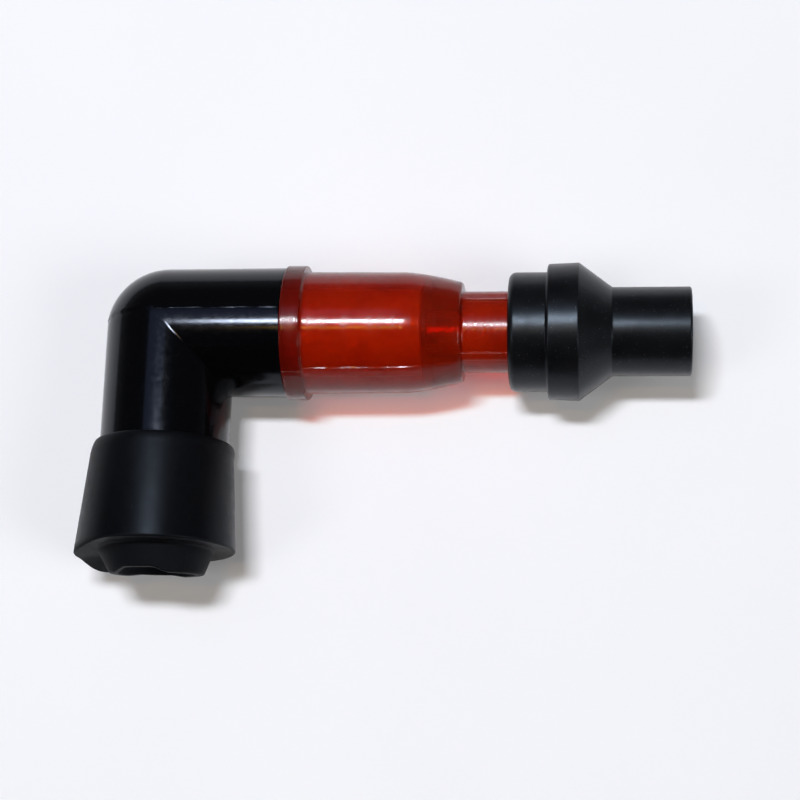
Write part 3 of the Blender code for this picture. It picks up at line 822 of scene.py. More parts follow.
@dataclass(frozen=True)
class Mottled(Finish):
    """What the plainer finishes share: a colour in patches, an uneven gloss and a fine relief.

    Each pattern is its features' size and its detail.
    """

    light: str = "#DEDACD"
    deep: str = "#CFC9B6"
    patch: Point = (3.0, 4.0)
    rub: Point = (1.0, 3.0)
    smooth: float = 0.40
    rough: float = 0.60
    relief: Point = (0.25, 3.0)
    relief_depth: float = 0.008
    relief_stretch: float | None = None
    metallic: float = 0.0
    axis: Axis = Axis.LEAD

    def make(self) -> bpy.types.Material:
        """Builds the material.

        Returns:
            The material.
        """
        tree, material = self.open()
        where = self.place(tree, self.axis)
        drawn = where
        if self.relief_stretch is not None:
            drawn = self.place(tree, self.axis, self.relief_stretch)
        patches, rubs, relief = (
            add_node(tree, "TexNoise", {"Vector": vector, "Scale": per(size), "Detail": detail})
            for vector, (size, detail) in ((where, self.patch), (where, self.rub), (drawn, self.relief))
        )
        share = add_node(tree, "MapRange", {"Value": patches, FROM: NOISE_RANGE})
        colours = (srgb(self.light), srgb(self.deep))
        gloss = {"Value": rubs, FROM: NOISE_RANGE, TO: (self.smooth, self.rough)}
        shader = add_node(
            tree,
            "BsdfPrincipled",
            {
                "Base Color": add_node(tree, "Mix", {0: share, COLOURS: colours}, data_type="RGBA"),
                "Metallic": self.metallic,
                "Roughness": add_node(tree, "MapRange", gloss),
                "Normal": add_node(tree, "Bump", {"Height": relief, "Distance": self.relief_depth * MM}),
            },
        )
        add_node(tree, "OutputMaterial", {"Surface": shader})
        return material


@dataclass(frozen=True)
class TurnedBrass(Mottled):
    """Brass turned on a lathe: fine rings round the axis, and a warm tarnish in patches.

    Rings 0.08 mm apart are too fine to show, so they are drawn 0.2 mm apart.
    """

    light: str = "#D9B45E"
    deep: str = "#A8813C"
    patch: Point = (2.5, 4.0)
    rub: Point = (1.5, 3.0)
    smooth: float = 0.22
    rough: float = 0.38
    relief: Point = (0.2, 1.0)
    relief_depth: float = 0.006
    relief_stretch: float | None = 40.0
    metallic: float = 1.0


@dataclass(frozen=True)
class DrawnSteel(Mottled):
    """Spring steel wire as drawn: grey, finely mottled by what is left of the drawing soap.

    The wire's grain of 0.02 mm is drawn at 0.15 mm, so that it shows.
    """

    name: str = "spring_steel"
    light: str = "#B9BABD"
    deep: str = "#85868A"
    patch: Point = (0.3, 4.0)
    rub: Point = (0.6, 3.0)
    smooth: float = 0.25
    rough: float = 0.4
    relief: Point = (0.15, 2.0)
    relief_depth: float = 0.004
    metallic: float = 1.0
    axis: Axis = Axis.PLUG


@dataclass(frozen=True)
class FiredCeramic(Mottled):
    """White alumina ceramic, fired without a glaze: matt and nearly white, in faint clouds.

    Its grain of 0.02 mm is drawn at 0.15 mm, so that it shows.
    """

    name: str = "resistor_ceramic"
    light: str = "#E6E3DA"
    deep: str = "#DAD5C8"
    relief: Point = (0.15, 3.0)


@dataclass(frozen=True)
class NaturalNylon(Mottled):
    """Natural nylon, moulded and left undyed: matt, the colour of bone, in faint clouds."""

    name: str = "sleeve_nylon"
    light: str = "#B9AE94"
    deep: str = "#A99C80"


@dataclass(frozen=True)
class PaintedFloor(Finish):
    """A floor in matt pale paint, with the faintest unevenness.

    To the camera, and in what is seen in gloss or through the clear barrel, it shows a little paler than
    it is lit. It lights the cap as plain paint does.
    """

    name: str = "pale_floor"
    light: str = "#F8F8F8"
    deep: str = "#F5F5F6"
    cloud: float = 60.0
    rough: float = 0.8
    lift: float = 0.08

    def make(self) -> bpy.types.Material:
        """Builds the material.

        Returns:
            The material.
        """
        tree, material = self.open()
        where = add_node(tree, "TexCoord").outputs["Object"]
        cloud = add_node(tree, "TexNoise", {"Vector": where, "Scale": per(self.cloud), "Detail": 3.0})
        share = add_node(tree, "MapRange", {"Value": cloud, FROM: NOISE_RANGE})
        colours = (srgb(self.light), srgb(self.deep))
        colour = add_node(tree, "Mix", {0: share, COLOURS: colours}, data_type="RGBA")
        paint = add_node(tree, "BsdfPrincipled", {"Base Color": colour, "Roughness": self.rough})
        path = add_node(tree, "LightPath")
        seen = path.outputs["Is Camera Ray"]
        for ray in ("Is Glossy Ray", "Is Transmission Ray"):
            seen = add_node(tree, "Math", {0: seen, 1: path.outputs[ray]}, operation="MAXIMUM")
        lift = add_node(tree, "Math", {0: seen, 1: self.lift}, operation="MULTIPLY")
        glow = add_node(tree, "Emission", {"Strength": lift})
        both = add_node(tree, "AddShader", {0: paint, 1: glow})
        add_node(tree, "OutputMaterial", {"Surface": both})
        return material


def dress(obj: bpy.types.Object, material: bpy.types.Material) -> None:
    """Gives a piece its material in place of any other."""
    obj.data.materials.clear()
    obj.data.materials.append(material)


def hand_over(obj: bpy.types.Object, material: bpy.types.Material, slot: str, *nodes: str) -> None:
    """Dresses a new piece, hangs it on the cap's body, hides the solids that it stands for and logs its
    faces.

    Args:
        obj: The piece.
        material: Its material.
        slot: Not used.
        *nodes: The solids that it stands for.
    """
    dress(obj, material)
    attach(obj, BODY)
    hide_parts(*nodes)
    LOG.info("%s: %d faces", obj.name, len(obj.data.polygons))


@dataclass
class Elbow:
    """The black elbow: two arms that meet in a mitre inside and round a ball outside.

    Each stepped bore is given as its steps' radii and the places where they end, from its mouth inwards.
    """

    place: Matrix
    finish: Phenolic = Phenolic()
    radius: float = 10.3
    lead_radius: float = 10.35
    lead_end: float = 19.35
    plug_radius: float = 10.25
    seat_start: float = 20.2
    seat_radius: float = 9.2
    plug_end: float = 31.0
    edge: float = 0.15
    bead_start: float = 26.0
    bead_width: float = 1.8
    bead_height: float = 0.5
    mitre_rounding: float = 0.24
    mitre_glint_end: float = 4.6
    joint_place: float = 1.2
    joint: Ridge = Ridge(width=0.11, height=0.02, wander=2.0, seed=4, step=0.11)
    ring_spacing: float = 0.7
    lead_bore: tuple[Point, ...] = ((9.7, 18.0), (8.6, 12.1), (4.1, -3.6))
    plug_bore: tuple[Point, ...] = ((6.3, 19.0), (4.9, 6.5), (4.3, -4.0))
    sides: int = 128

    def arm(self, axis: Axis, length: float, end_radius: float) -> bpy.types.Object:
        """Makes an open tube along an axis, cut by the mitre inside and through the corner outside.

        Args:
            axis: The arm's axis.
            length: The place along it where the tube ends.
            end_radius: The radius there; at the corner it is the elbow's.

        Returns:
            The new object.
        """
        along = axis.along
        turn = (0, math.radians(90), 0) if axis is Axis.LEAD else (math.radians(90), 0, 0)
        back = 2 * self.radius
        bpy.ops.object.select_all(action="DESELECT")
        bpy.ops.mesh.primitive_cylinder_add(
            vertices=self.sides,
            radius=self.radius * MM,
            depth=(length + back) * MM,
            end_fill_type="NOTHING",
            location=along * (length - back) / 2 * MM,
            rotation=turn,
        )
        arm = bpy.context.active_object
        bpy.ops.object.transform_apply(location=True, rotation=True, scale=True)
        Workbench.edit(arm)
        mitre = Vector((1, 1, 0)) if axis is Axis.LEAD else Vector((-1, -1, 0))
        for normal in (mitre, along):
            bpy.ops.mesh.select_all(action="SELECT")
            bpy.ops.mesh.bisect(plane_co=(0, 0, 0), plane_no=normal, clear_inner=True)
        Workbench.select(arm, Part.VERTS, lambda co: abs(co.dot(along) - length * MM) < WELD)
        share = end_radius / self.radius
        bpy.ops.transform.resize(value=(share, share, share), center_override=along * length * MM)
        Workbench.close()
        return arm

    def draw_out(self, obj: bpy.types.Object, axis: Axis, outline: Sequence[Point]) -> None:
        """Draws the open end of an arm on through an outline's points, and closes it after the last.

        Args:
            obj: The elbow, open in edit mode.
            axis: The arm's axis.
            outline: Points as (radius, place along the axis). The first is where the end is now.
        """
        along = axis.along
        end = outline[0][1] * MM
        Workbench.select(obj, Part.EDGES, lambda co: abs(co.dot(along) - end) < WELD)
        shrink = Vector((1, 1, 1)) - Vector(abs(share) for share in along)
        for (radius, here), (new_radius, new_here) in zip(outline, outline[1:]):
            bpy.ops.mesh.extrude_region_move(TRANSFORM_OT_translate={"value": along * (new_here - here) * MM})
            scale = Vector(abs(share) for share in along) + shrink * (new_radius / radius)
            bpy.ops.transform.resize(value=scale, center_override=along * new_here * MM)
        bpy.ops.mesh.edge_face_add()

    def skin(self) -> bpy.types.Object:
        """Makes the closed outer skin, with the mitre rounded at its top and the mould's joint raised.

        Returns:
            The new object.
        """
        lead_end = self.lead_end - self.edge
        elbow = self.arm(Axis.LEAD, lead_end, self.lead_radius)
        other = self.arm(Axis.PLUG, self.seat_start, self.plug_radius)
        bpy.ops.object.select_all(action="DESELECT")
        other.select_set(True)
        elbow.select_set(True)
        bpy.context.view_layer.objects.active = elbow
        bpy.ops.object.join()
        elbow.name = elbow.data.name = "elbow_shell"
        Workbench.edit(elbow)
        Workbench.select(elbow, Part.EDGES, lambda co: abs(co.x) < WELD and co.y > -WELD)
        bpy.ops.mesh.spin(steps=self.sides // 4, angle=math.radians(90), center=(0, 0, 0), axis=(0, 0, -1))
        Workbench.knit()
        end = self.mitre_glint_end * MM
        Workbench.select(elbow, Part.EDGES, lambda co: abs(co.x + co.y) < WELD and -WELD < co.x < end)
        rounding = self.mitre_rounding * MM
        bpy.ops.mesh.bevel(
            offset=rounding, offset_type="OFFSET", segments=4, affect="EDGES", clamp_overlap=True
        )
        Workbench.close()
        self.add_rings(elbow)
        joint = Vector((0, self.joint_place * MM, 0))
        Workbench.raise_line(elbow, joint, Vector((0, 1, 0)), self.joint, lambda co: True)
        Workbench.edit(elbow)
        lead_mouth = [
            (self.lead_radius, lead_end),
            (self.lead_radius - self.edge / 3, self.lead_end - self.edge / 3),
            (self.lead_radius - self.edge, self.lead_end),
        ]
        self.draw_out(elbow, Axis.LEAD, lead_mouth)
        seat, bead, rise = self.seat_radius, self.bead_start, self.bead_height
        plug_seat = [
            (self.plug_radius, self.seat_start),
            (seat, self.seat_start),
            (seat, bead),
            (seat + rise, bead + rise),
            (seat + rise, bead + self.bead_width - rise),
            (seat, bead + self.bead_width),
            (seat, self.plug_end - self.edge),
            (seat - self.edge, self.plug_end),
        ]
        self.draw_out(elbow, Axis.PLUG, plug_seat)
        Workbench.knit()
        Workbench.close()
        return elbow

    def add_rings(self, obj: bpy.types.Object) -> None:
        """Cuts rings into the lead arm's outer side, so that the joint's ridge can wander.

        Args:
            obj: The elbow.
        """
        Workbench.edit(obj)
        count = int((self.lead_end - self.edge) / self.ring_spacing)
        for index in range(1, count + 1):
            Workbench.select(obj, Part.FACES, lambda co: co.x > -WELD and co.y > -WELD)
            place = (index * self.ring_spacing * MM, 0, 0)
            bpy.ops.mesh.bisect(plane_co=place, plane_no=(1, 0, 0))
        Workbench.close()

    def cutter(self, name: str, axis: Axis, mouth: float, bore: Sequence[Point]) -> bpy.types.Object:
        """Makes the cutter of a stepped bore.

        Args:
            name: The cutter's name.
            axis: The bore's axis.
            mouth: The place along it where the bore opens.
            bore: The bore's steps, from its mouth inwards.

        Returns:
            The new object.
        """
        here = mouth + OVERCUT
        outline = [(0, here)]
        for radius, end in bore:
            outline += [(radius, here), (radius, end)]
            here = end
        outline.append((0, here))
        return Workbench.spin(name, outline, axis, self.sides // 2, closed=False)

    def build(self) -> None:
        """Models and dresses the elbow."""
        elbow = self.skin()
        cutters = (
            self.cutter("lead_bore", Axis.LEAD, self.lead_end, self.lead_bore),
            self.cutter("plug_bore", Axis.PLUG, self.plug_end, self.plug_bore),
        )
        for cutter in cutters:
            Workbench.carve(elbow, cutter, Cut.TAKE)
        Workbench.finish(elbow, self.place)
        hand_over(elbow, self.finish.make(), "black_phenolic", "elbow_housing")


@dataclass
class Barrel:
    """The clear red barrel: spigot, grooved flange, hollow body, drawn-in shoulder and ribbed neck."""

    place: Matrix
    finish: Polycarbonate = Polycarbonate()
    spigot_end: float = 12.4
    spigot_radius: float = 8.3
    flange_start: float = 19.4
    flange_end: float = 22.5
    flange_radius: float = 10.8
    groove_count: int = 6
    groove_depth: float = 0.02
    groove_margin: float = 0.35
    root_radius: float = 9.8
    radius: float = 9.64
    taper_start: float = 38.4
    shoulder_radius: float = 7.95
    shoulder_end: float = 47.5
    neck_radius: float = 6.5
    neck_end: float = 67.0
    bead_start: float = 62.4
    bead_end: float = 65.0
    bead_height: float = 0.95
    mouth_radius: float = 4.25
    mouth_chamfer: float = 0.5
    bore_radius: float = 3.75
    bore_end: float = 46.6
    hole_radius: float = 2.5
    cavity_end: float = 41.3
    cavity_radius: float = 7.0
    rib_count: int = 4
    rib_turn: float = 51.0
    rib_width: float = 1.5
    rib_height: float = 0.38
    rib_depth: float = 1.6
    rib_rounding: float = 0.2
    rib_root: float = 1.4
    rib_end: float = 60.0
    joint: Ridge = Ridge(width=0.18, height=0.085, wander=0.6, seed=9)
    joint_depth: float = 1.5
    ring_margin: float = 1.0
    ring_spacing: float = 0.55
    sides: int = 132

    def flange_grooves(self) -> list[Point]:
        """Draws the shallow turned grooves round the flange's rim.

        Returns:
            The outline's points from the rim's far edge to its near one.
        """
        pitch = (self.flange_end - self.flange_start - 2 * self.groove_margin) / self.groove_count
        points = []
        for index in range(self.groove_count):
            middle = self.flange_end - self.groove_margin - pitch * (index + 0.5)
            points.append((self.flange_radius, middle + pitch / 4))
            points.append((self.flange_radius - self.groove_depth, middle))
            points.append((self.flange_radius, middle - pitch / 4))
        return points

    def body_rings(self) -> list[Point]:
        """Divides the body's long straight side, so that the joint's ridge can wander.

        Returns:
            The outline's points from the taper to just before the flange.
        """
        length = self.taper_start - self.flange_end - self.ring_margin
        count = int(length / self.ring_spacing)
        slope = (self.root_radius - self.radius) / (length + self.ring_margin)
        steps = [index * length / count for index in range(1, count + 1)]
        return [(self.radius + slope * step, self.taper_start - step) for step in steps]

    def outline(self) -> list[Point]:
        """Draws the wall's outline.

        Returns:
            Its points, from the neck's mouth over the outer side and back up the bore.
        """
        neck = self.neck_radius
        bead = neck + self.bead_height
        near = (self.radius, self.taper_start)
        return trace(
            [
                (self.mouth_radius, self.neck_end),
                Corner(neck - self.mouth_chamfer, self.neck_end, 0.15),
                Corner(neck, self.neck_end - self.mouth_chamfer, 0.2),
                Corner(neck, self.bead_end, 0.3),
                Corner(bead, self.bead_end - self.bead_height, 0.3),
                Corner(bead, self.bead_start + self.bead_height, 0.3),
                Corner(neck, self.bead_start, 0.3),
                Corner(neck, self.shoulder_end, 0.35),
                Corner(self.shoulder_radius, self.shoulder_end, 1.1),
                *draw_in((self.shoulder_radius, self.shoulder_end), near),
                near,
                *self.body_rings(),
                Corner(self.root_radius, self.flange_end, 0.4),
                Corner(self.flange_radius, self.flange_end, 0.18),
                *self.flange_grooves(),
                Corner(self.flange_radius, self.flange_start, 0.18),
                Corner(self.spigot_radius, self.flange_start, 0.1),
                Corner(self.spigot_radius, self.spigot_end, 0.4),
                Corner(self.cavity_radius, self.spigot_end, 0.1),
                Corner(self.cavity_radius, self.cavity_end, 0.5),
                Corner(self.hole_radius, self.cavity_end, 0.1),
                Corner(self.hole_radius, self.bore_end, 0.1),
                Corner(self.bore_radius, self.bore_end, 0.1),
                Corner(self.bore_radius, self.neck_end - self.mouth_chamfer, 0.1),
            ],
            closed=True,
        )

    def rib(self, turn: float) -> bpy.types.Object:
        """Makes one of the neck's ribs, with its long edges rounded.

        Args:
            turn: Its angle about the lead axis, in degrees.

        Returns:
            The new object.
        """
        start = self.shoulder_end - self.rib_root
        top = self.neck_radius + self.rib_height
        middle = ((start + self.rib_end) / 2 * MM, 0, (top - self.rib_depth / 2) * MM)
        bpy.ops.object.select_all(action="DESELECT")
        bpy.ops.mesh.primitive_cube_add(size=MM, location=middle)
        rib = bpy.context.active_object
        rib.name = "neck_rib"
        rib.scale = (self.rib_end - start, self.rib_width, self.rib_depth)
        bpy.ops.object.transform_apply(location=True, rotation=True, scale=True)
        Workbench.edit(rib)
        Workbench.select(rib, Part.EDGES, lambda co: co.z > self.neck_radius * MM)
        bpy.ops.mesh.bevel(offset=self.rib_rounding * MM, offset_type="OFFSET", segments=4, affect="EDGES")
        Workbench.close()
        rib.rotation_euler = (math.radians(turn), 0, 0)
        bpy.ops.object.transform_apply(location=True, rotation=True, scale=True)
        return rib

    def build(self) -> None:
        """Models and dresses the barrel."""
        half_side = math.tau / self.sides / 2
        turn = math.radians(self.rib_turn)
        barrel = Workbench.spin("barrel_shell", self.outline(), Axis.LEAD, self.sides, start=turn + half_side)
        normal = Vector((0, math.cos(turn), math.sin(turn)))
        skin = (self.radius - self.joint_depth) * MM
        start, end = self.flange_start * MM, self.shoulder_end * MM
        Workbench.raise_line(
            barrel,
            Vector((0, 0, 0)),
            normal,
            self.joint,
            lambda co: math.hypot(co.y, co.z) > skin and start < co.x < end,
        )
        for index in range(self.rib_count):
            Workbench.carve(barrel, self.rib(self.rib_turn + 90 * index), Cut.JOIN)
        Workbench.finish(barrel, self.place)
        hand_over(barrel, self.finish.make(), "red_polycarbonate", "red_barrel")


@dataclass
class Boot:
    """The rubber boot on the plug arm, with the nose that closes on the plug's insulator.

    Its slump is given as the most that each place gives, and as the spans over which that comes on.
    """

    place: Matrix
    finish: MouldedRubber = MouldedRubber(
        name="boot_rubber",
        axis=Axis.PLUG,
        colour="#070709",
        dusty="#1B1C1E",
        smooth=0.32,
        rough=0.38,
        level=0.115,
        top_dulling=0.09,
        nose_dulling=0.28,
    )
    start: float = 18.8
    lip_bore: float = 10.55
    lip_wall: float = 0.35
    shoulder_radius: float = 11.35
    shoulder_end: float = 20.7
    rim_radius: float = 12.1
    rim: float = 35.6
    nose_root: float = 8.7
    nose_radius: float = 7.4
    nose_tip: float = 39.5
    mouth_radius: float = 6.0
    mouth_start: float = 37.5
    hole_radius: float = 5.2
    seat_start: float = 20.5
    seat_radius: float = 9.5
    seat_end: float = 31.3
    groove_start: float = 25.7
    groove_end: float = 28.1
    groove_depth: float = 0.5
    outer_swell: float = 0.4
    outer_flare: float = 0.75
    outer_power: float = 1.5
    outer_drop: float = 1.2
    drop_side: Span = (0.45, 1.0)
    drop_start: float = 30.0
    flap_drop: float = 1.7
    flap_side: Span = (0.3, 0.75)
    flap_below: Span = (1.0, 8.0)
    inner_draw: float = -0.3
    inner_flare: float = 0.35
    grip_fade: float = 1.0
    nose_droop: float = 0.115
    droop_before_rim: float = 0.5
    droop_past_rim: float = 2.0
    nose_arch: float = 0.8
    arch_past_rim: float = 0.8
    arch_start: Span = (-6.0, -3.6)
    arch_end: Span = (0.6, 3.4)
    arch_above: Span = (-3.0, 3.0)
    arch_least: float = 0.4
    sides: int = 128

    def outline(self) -> list[Point]:
        """Draws the wall's outline.

        Returns:
            Its points, from the mouth over the outer side and back up the bore.
        """
        lip = self.lip_bore + self.lip_wall
        seat, depth = self.seat_radius, self.groove_depth
        return trace(
            [
                Corner(self.mouth_radius, self.nose_tip, 0.2),
                Corner(self.nose_radius, self.nose_tip, 0.5),
                Corner(self.nose_root, self.rim, 0.4),
                Corner(self.rim_radius, self.rim, 0.35),
                *quarter((lip, self.start), (self.shoulder_radius, self.shoulder_end)),
                Corner(self.lip_bore, self.start, 0.1),
                (self.lip_bore, self.seat_start),
                (seat, self.seat_start),
                (seat, self.groove_start),
                (seat + depth, self.groove_start + depth),
                (seat + depth, self.groove_end - depth),
                (seat, self.groove_end),
                (seat, self.seat_end),
                (self.hole_radius, self.seat_end),
                Corner(self.hole_radius, self.mouth_start, 0.2),
            ],
            closed=True,
        )

    def slump(self, boot: bpy.types.Object) -> None:
        """Lets the soft rubber give.

        The rim spreads, most on its outer side, where it drops and hangs in a flap below. The nose droops,
        and its mouth's edge draws back in an arch.

        Args:
            boot: The boot as it was moulded.
        """
        Workbench.edit(boot)
        mesh = bmesh.from_edit_mesh(boot.data)
        for vertex in mesh.verts:
            along = -vertex.co.y / MM
            height = vertex.co.z / MM
            outer = max(0.0, -vertex.co.x / MM / self.rim_radius)
            inner = max(0.0, vertex.co.x / MM / self.rim_radius)
            gripped = ramp(along, self.start, self.shoulder_end + self.grip_fade)
            spread = ramp(along, self.shoulder_end, self.rim)
            fade = 1 - ramp(along, self.rim, self.nose_tip)
            bulge = outer**self.outer_power
            shift = (self.inner_flare * inner - self.outer_flare * bulge) * spread
            shift += (self.inner_draw * inner - self.outer_swell * bulge) * gripped
            vertex.co.x += shift * fade * MM
            drop = self.outer_drop * ramp(outer, *self.drop_side)
            drop += self.flap_drop * ramp(outer, *self.flap_side) * ramp(-height, *self.flap_below)
            drop *= ramp(along, self.drop_start, self.rim) * fade
            hanging = ramp(along, self.rim - self.droop_before_rim, self.rim + self.droop_past_rim)
            droop = self.nose_droop * height * hanging
            across = vertex.co.x / MM
            arch = ramp(across, *self.arch_start) - ramp(across, *self.arch_end)
            arch *= self.arch_least + (1 - self.arch_least) * ramp(height, *self.arch_above)
            arch *= self.nose_arch * ramp(along, self.rim + self.arch_past_rim, self.nose_tip)
            vertex.co.y -= (drop + droop - arch) * MM
        bmesh.update_edit_mesh(boot.data)
        Workbench.close()

    def build(self) -> None:
        """Models and dresses the boot."""
        boot = Workbench.spin("boot_shell", self.outline(), Axis.PLUG, self.sides)
        self.slump(boot)
        Workbench.finish(boot, self.place)
        hand_over(boot, self.finish.make(), "boot_rubber", "plug_boot")


@dataclass
class Seal:
    """The rubber seal over the neck's end: sleeve, collar, cone and tail."""

    place: Matrix
    finish: MouldedRubber = MouldedRubber(name="seal_rubber")
    start: float = 54.8
    body_radius: float = 9.47
    collar_start: float = 60.9
    collar_end: float = 65.8
    collar_front: float = 10.75
    collar_radius: float = 10.95
    cone_end: float = 71.0
    tail_radius: float = 7.05
    end: float = 83.4
    bore: float = 3.5
    bore_chamfer: float = 0.4
    neck_radius: float = 6.95
    neck_end: float = 67.3
    groove_start: float = 62.1
    groove_end: float = 65.3
    groove_depth: float = 0.65
    sides: int = 128

    def outline(self) -> list[Point]:
        """Draws the wall's outline.

        Returns:
            Its points, from the tail's mouth over the outer side and back up the bore.
        """
        neck, depth = self.neck_radius, self.groove_depth
        return trace(
            [
                Corner(self.bore + self.bore_chamfer, self.end, 0.15),
                Corner(self.tail_radius, self.end, 0.4),
                Corner(self.tail_radius, self.cone_end, 0.5),
                Corner(self.collar_radius, self.collar_end, 0.35),
                Corner(self.collar_front, self.collar_start, 0.4),
                Corner(self.body_radius, self.collar_start, 0.3),
                Corner(self.body_radius, self.start, 1.1),
                Corner(neck, self.start, 0.1),
                (neck, self.groove_start),
                (neck + depth, self.groove_start + depth),
                (neck + depth, self.groove_end - depth),
                (neck, self.groove_end),
                (neck, self.neck_end),
                (self.bore, self.neck_end),
                Corner(self.bore, self.end - self.bore_chamfer, 0.15),
            ],
            closed=True,
        )

    def build(self) -> None:
        """Models and dresses the seal, and dresses the O-ring in the same rubber."""
        seal = Workbench.spin("seal_shell", self.outline(), Axis.LEAD, self.sides)
        Workbench.finish(seal, self.place)
        material = self.finish.make()
        hand_over(seal, material, "seal_rubber", "cable_seal")
        dress(bpy.data.objects["barrel_o_ring"], material)


@dataclass
class Inside:
    """What lies inside: the sleeve that is modelled again, and the pieces that keep their solids."""

    place: Matrix
    sleeve_radius: float = 6.7
    sleeve_bore: float = 3.6
    sleeve_start: float = 13.0
    sleeve_end: float = 41.0
    head_bore: float = 5.5
    head_start: float = 38.9
    sides: int = 96

    def sleeve(self) -> bpy.types.Object:
        """Models the sleeve.

        Returns:
            The new object.
        """
        outline = trace(
            [
                Corner(self.head_bore, self.sleeve_end, 0.2),
                Corner(self.sleeve_radius, self.sleeve_end, 0.4),
                Corner(self.sleeve_radius, self.sleeve_start, 0.4),
                Corner(self.sleeve_bore, self.sleeve_start, 0.3),
                (self.sleeve_bore, self.head_start),
                (self.head_bore, self.head_start),
            ],
            closed=True,
        )
        sleeve = Workbench.spin("centring_sleeve", outline, Axis.LEAD, self.sides)
        Workbench.finish(sleeve, self.place)
        return sleeve

    def build(self) -> None:
        """Models the sleeve and dresses the metal, the ceramic and the nylon."""
        hand_over(self.sleeve(), NaturalNylon().make(), "sleeve_nylon", "resistor_sleeve")
        kept = {
            TurnedBrass(name="plug_brass", axis=Axis.PLUG): ("plug_socket", "corner_contact"),
            TurnedBrass(name="lead_brass"): ("lead_screw", "resistor_cap_front", "resistor_cap_rear"),
            DrawnSteel(): ("contact_screw", "contact_spring", "socket_clip"),
            FiredCeramic(): ("resistor_core",),
        }
        for finish, names in kept.items():
            material = finish.make()
            for name in names:
                dress(bpy.data.objects[name], material)
                LOG.info("%s keeps its solid", name)


def stand(right: Vector, upward: Vector, back: Vector, centre: Vector) -> Matrix:
    """The place of a camera or lamp that looks away from back, with its own right and upward sides."""
    return Matrix.Translation(centre) @ Matrix((right, upward, back)).transposed().to_4x4()


@dataclass(frozen=True)
class Lamp:
    """A flat studio lamp that faces the cap's middle, in metres and watts."""

    name: str
    centre: tuple[float, float, float]
    size: tuple[float, float]
    power: float
    colour: str = "#FFFFFF"

    def build(self, target: Vector) -> None:
        """Sets the lamp up, with its long side along X where it hangs overhead.

        Args:
            target: The point that it faces.
        """
        bpy.ops.object.light_add(type="AREA", location=self.centre)
        lamp = bpy.context.active_object
        lamp.name = lamp.data.name = self.name
        lamp.data.shape = "RECTANGLE"
        lamp.data.size, lamp.data.size_y = self.size
        lamp.data.energy = self.power
        lamp.data.color = srgb(self.colour)[:3]
        back = (Vector(self.centre) - target).normalized()
        side = (Vector((1, 0, 0)) - back * back.x).normalized()
        lamp.matrix_world = stand(side, back.cross(side), back, Vector(self.centre))


@dataclass(frozen=True)
class View:
    """The camera: its direction from the cap in degrees, and its distance, offset and lens in millimetres."""

    azimuth: float = 23.2361
    elevation: float = 73.4703
    roll: float = -22.4251
    distance: float = 316.9097
    right: float = 37.0092
    upward: float = -10.7246
    lens: float = 88.0089
    clip_start: float = 10.0
    clip_end: float = 10000.0

    def build(self, place: Matrix) -> None:
        """Sets the camera up over the cap.

        Args:
            place: The move from the cap's own axes, which the camera is placed by, to the frame's.
        """
        turn, rise, roll = (math.radians(angle) for angle in (self.azimuth, self.elevation, self.roll))
        back = Vector((math.sin(turn) * math.cos(rise), -math.cos(turn) * math.cos(rise), math.sin(rise)))
        level = Vector((math.cos(turn), math.sin(turn), 0))
        upright = back.cross(level)
        side = level * math.cos(roll) + upright * math.sin(roll)
        top = upright * math.cos(roll) - level * math.sin(roll)
        centre = (back * self.distance + side * self.right + top * self.upward) * MM
        bpy.ops.object.camera_add()
        camera = bpy.context.active_object
        camera.name = camera.data.name = "camera"
        camera.data.lens = self.lens
        camera.data.clip_start = self.clip_start * MM
        camera.data.clip_end = self.clip_end * MM
        camera.matrix_world = place @ stand(side, top, back, centre)
        bpy.context.scene.camera = camera


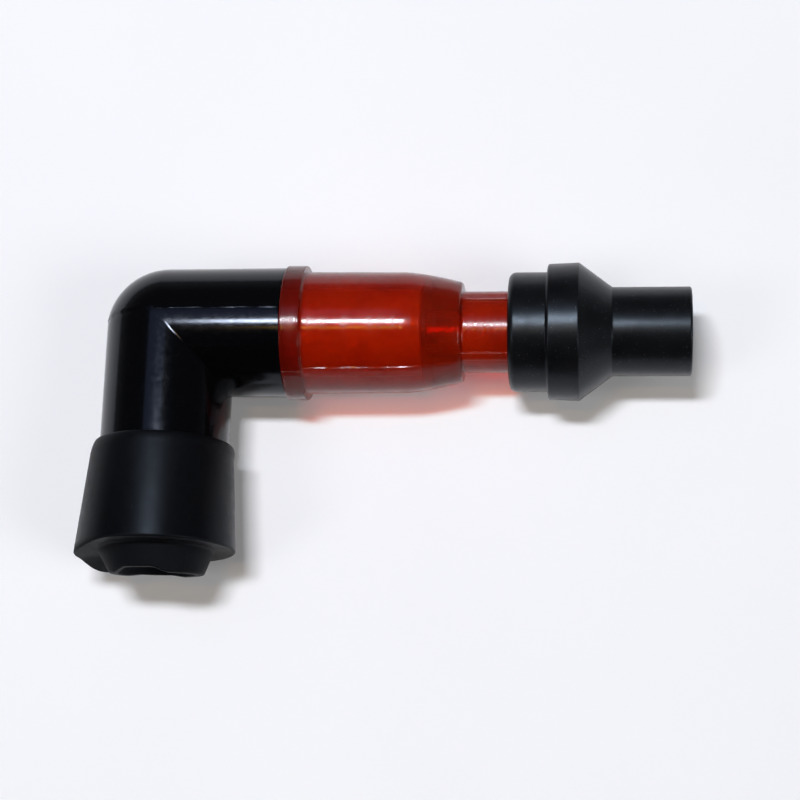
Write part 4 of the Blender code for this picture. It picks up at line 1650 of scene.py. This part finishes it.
@dataclass(frozen=True)
class Studio:
    """The floor, the lamps and the dim room round them, in metres.

    The room's light changes with the height of where it comes from, and with its place from the front
    at -Y to the back at +Y.
    """

    floor_size: float = 3.0
    floor_squares: int = 24
    target: tuple[float, float, float] = (0.0, 0.0, 0.01)
    lamps: tuple[Lamp, ...] = (
        Lamp("key_strip", (-0.070, 0.094, 0.66), (0.190, 0.056), 3.20, "#F2F6FF"),
        Lamp("warm_strip", (-0.055, -0.036, 0.66), (0.150, 0.028), 0.19, "#FFC24D"),
        Lamp("blue_panel", (-0.18, 0.245, 0.62), (0.34, 0.21), 0.18, "#B4C4F2"),
        Lamp("right_panel", (1.05, -0.44, 0.90), (0.65, 0.60), 4.4, "#FFFFFF"),
        Lamp("left_panel", (-0.86, -0.43, 1.08), (0.45, 0.45), 2.0, "#FFFFFF"),
    )
    overhead: str = "#424348"
    horizon: str = "#77777A"
    height_span: Span = (0.0, 0.4)
    depth_span: Span = (-0.7, 0.5)
    strengths: Span = (0.12, 1.0)

    def floor(self) -> None:
        """Lays the floor, a flat sheet that reaches well past the view."""
        bpy.ops.object.select_all(action="DESELECT")
        squares = self.floor_squares
        bpy.ops.mesh.primitive_grid_add(x_subdivisions=squares, y_subdivisions=squares, size=self.floor_size)
        floor = bpy.context.active_object
        floor.name = floor.data.name = "floor"
        dress(floor, PaintedFloor().make())

    def room(self) -> None:
        """Sets the room's light: paler towards the horizon, darker overhead and in front."""
        world = bpy.data.worlds.new("room")
        bpy.context.scene.world = world
        world.use_nodes = True
        tree = world.node_tree
        tree.nodes.clear()
        where = add_node(tree, "TexCoord").outputs["Generated"]
        parts = add_node(tree, "SeparateXYZ", {"Vector": where})
        height = {"Value": parts.outputs["Z"], FROM: self.height_span}
        rise = add_node(tree, "MapRange", height, interpolation_type="SMOOTHSTEP")
        colours = (srgb(self.horizon), srgb(self.overhead))
        colour = add_node(tree, "Mix", {0: rise, COLOURS: colours}, data_type="RGBA")
        depth = {"Value": parts.outputs["Y"], FROM: self.depth_span, TO: self.strengths}
        light = add_node(tree, "Background", {"Color": colour, "Strength": add_node(tree, "MapRange", depth)})
        add_node(tree, "OutputWorld", {"Surface": light})

    def build(self) -> None:
        """Sets everything up round the cap."""
        self.floor()
        self.room()
        for lamp in self.lamps:
            lamp.build(Vector(self.target))


def main() -> None:
    """Builds the scene piece by piece."""
    logging.basicConfig(level=logging.INFO, format="%(name)s: %(message)s")
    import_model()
    place = Rest().matrix()
    scene = bpy.context.scene
    scene.view_settings.view_transform = "Standard"
    View().build(place)
    Studio().build()
    for piece in (Elbow(place), Barrel(place), Boot(place), Seal(place), Inside(place)):
        piece.build()


if __name__ == "__main__":
    main()
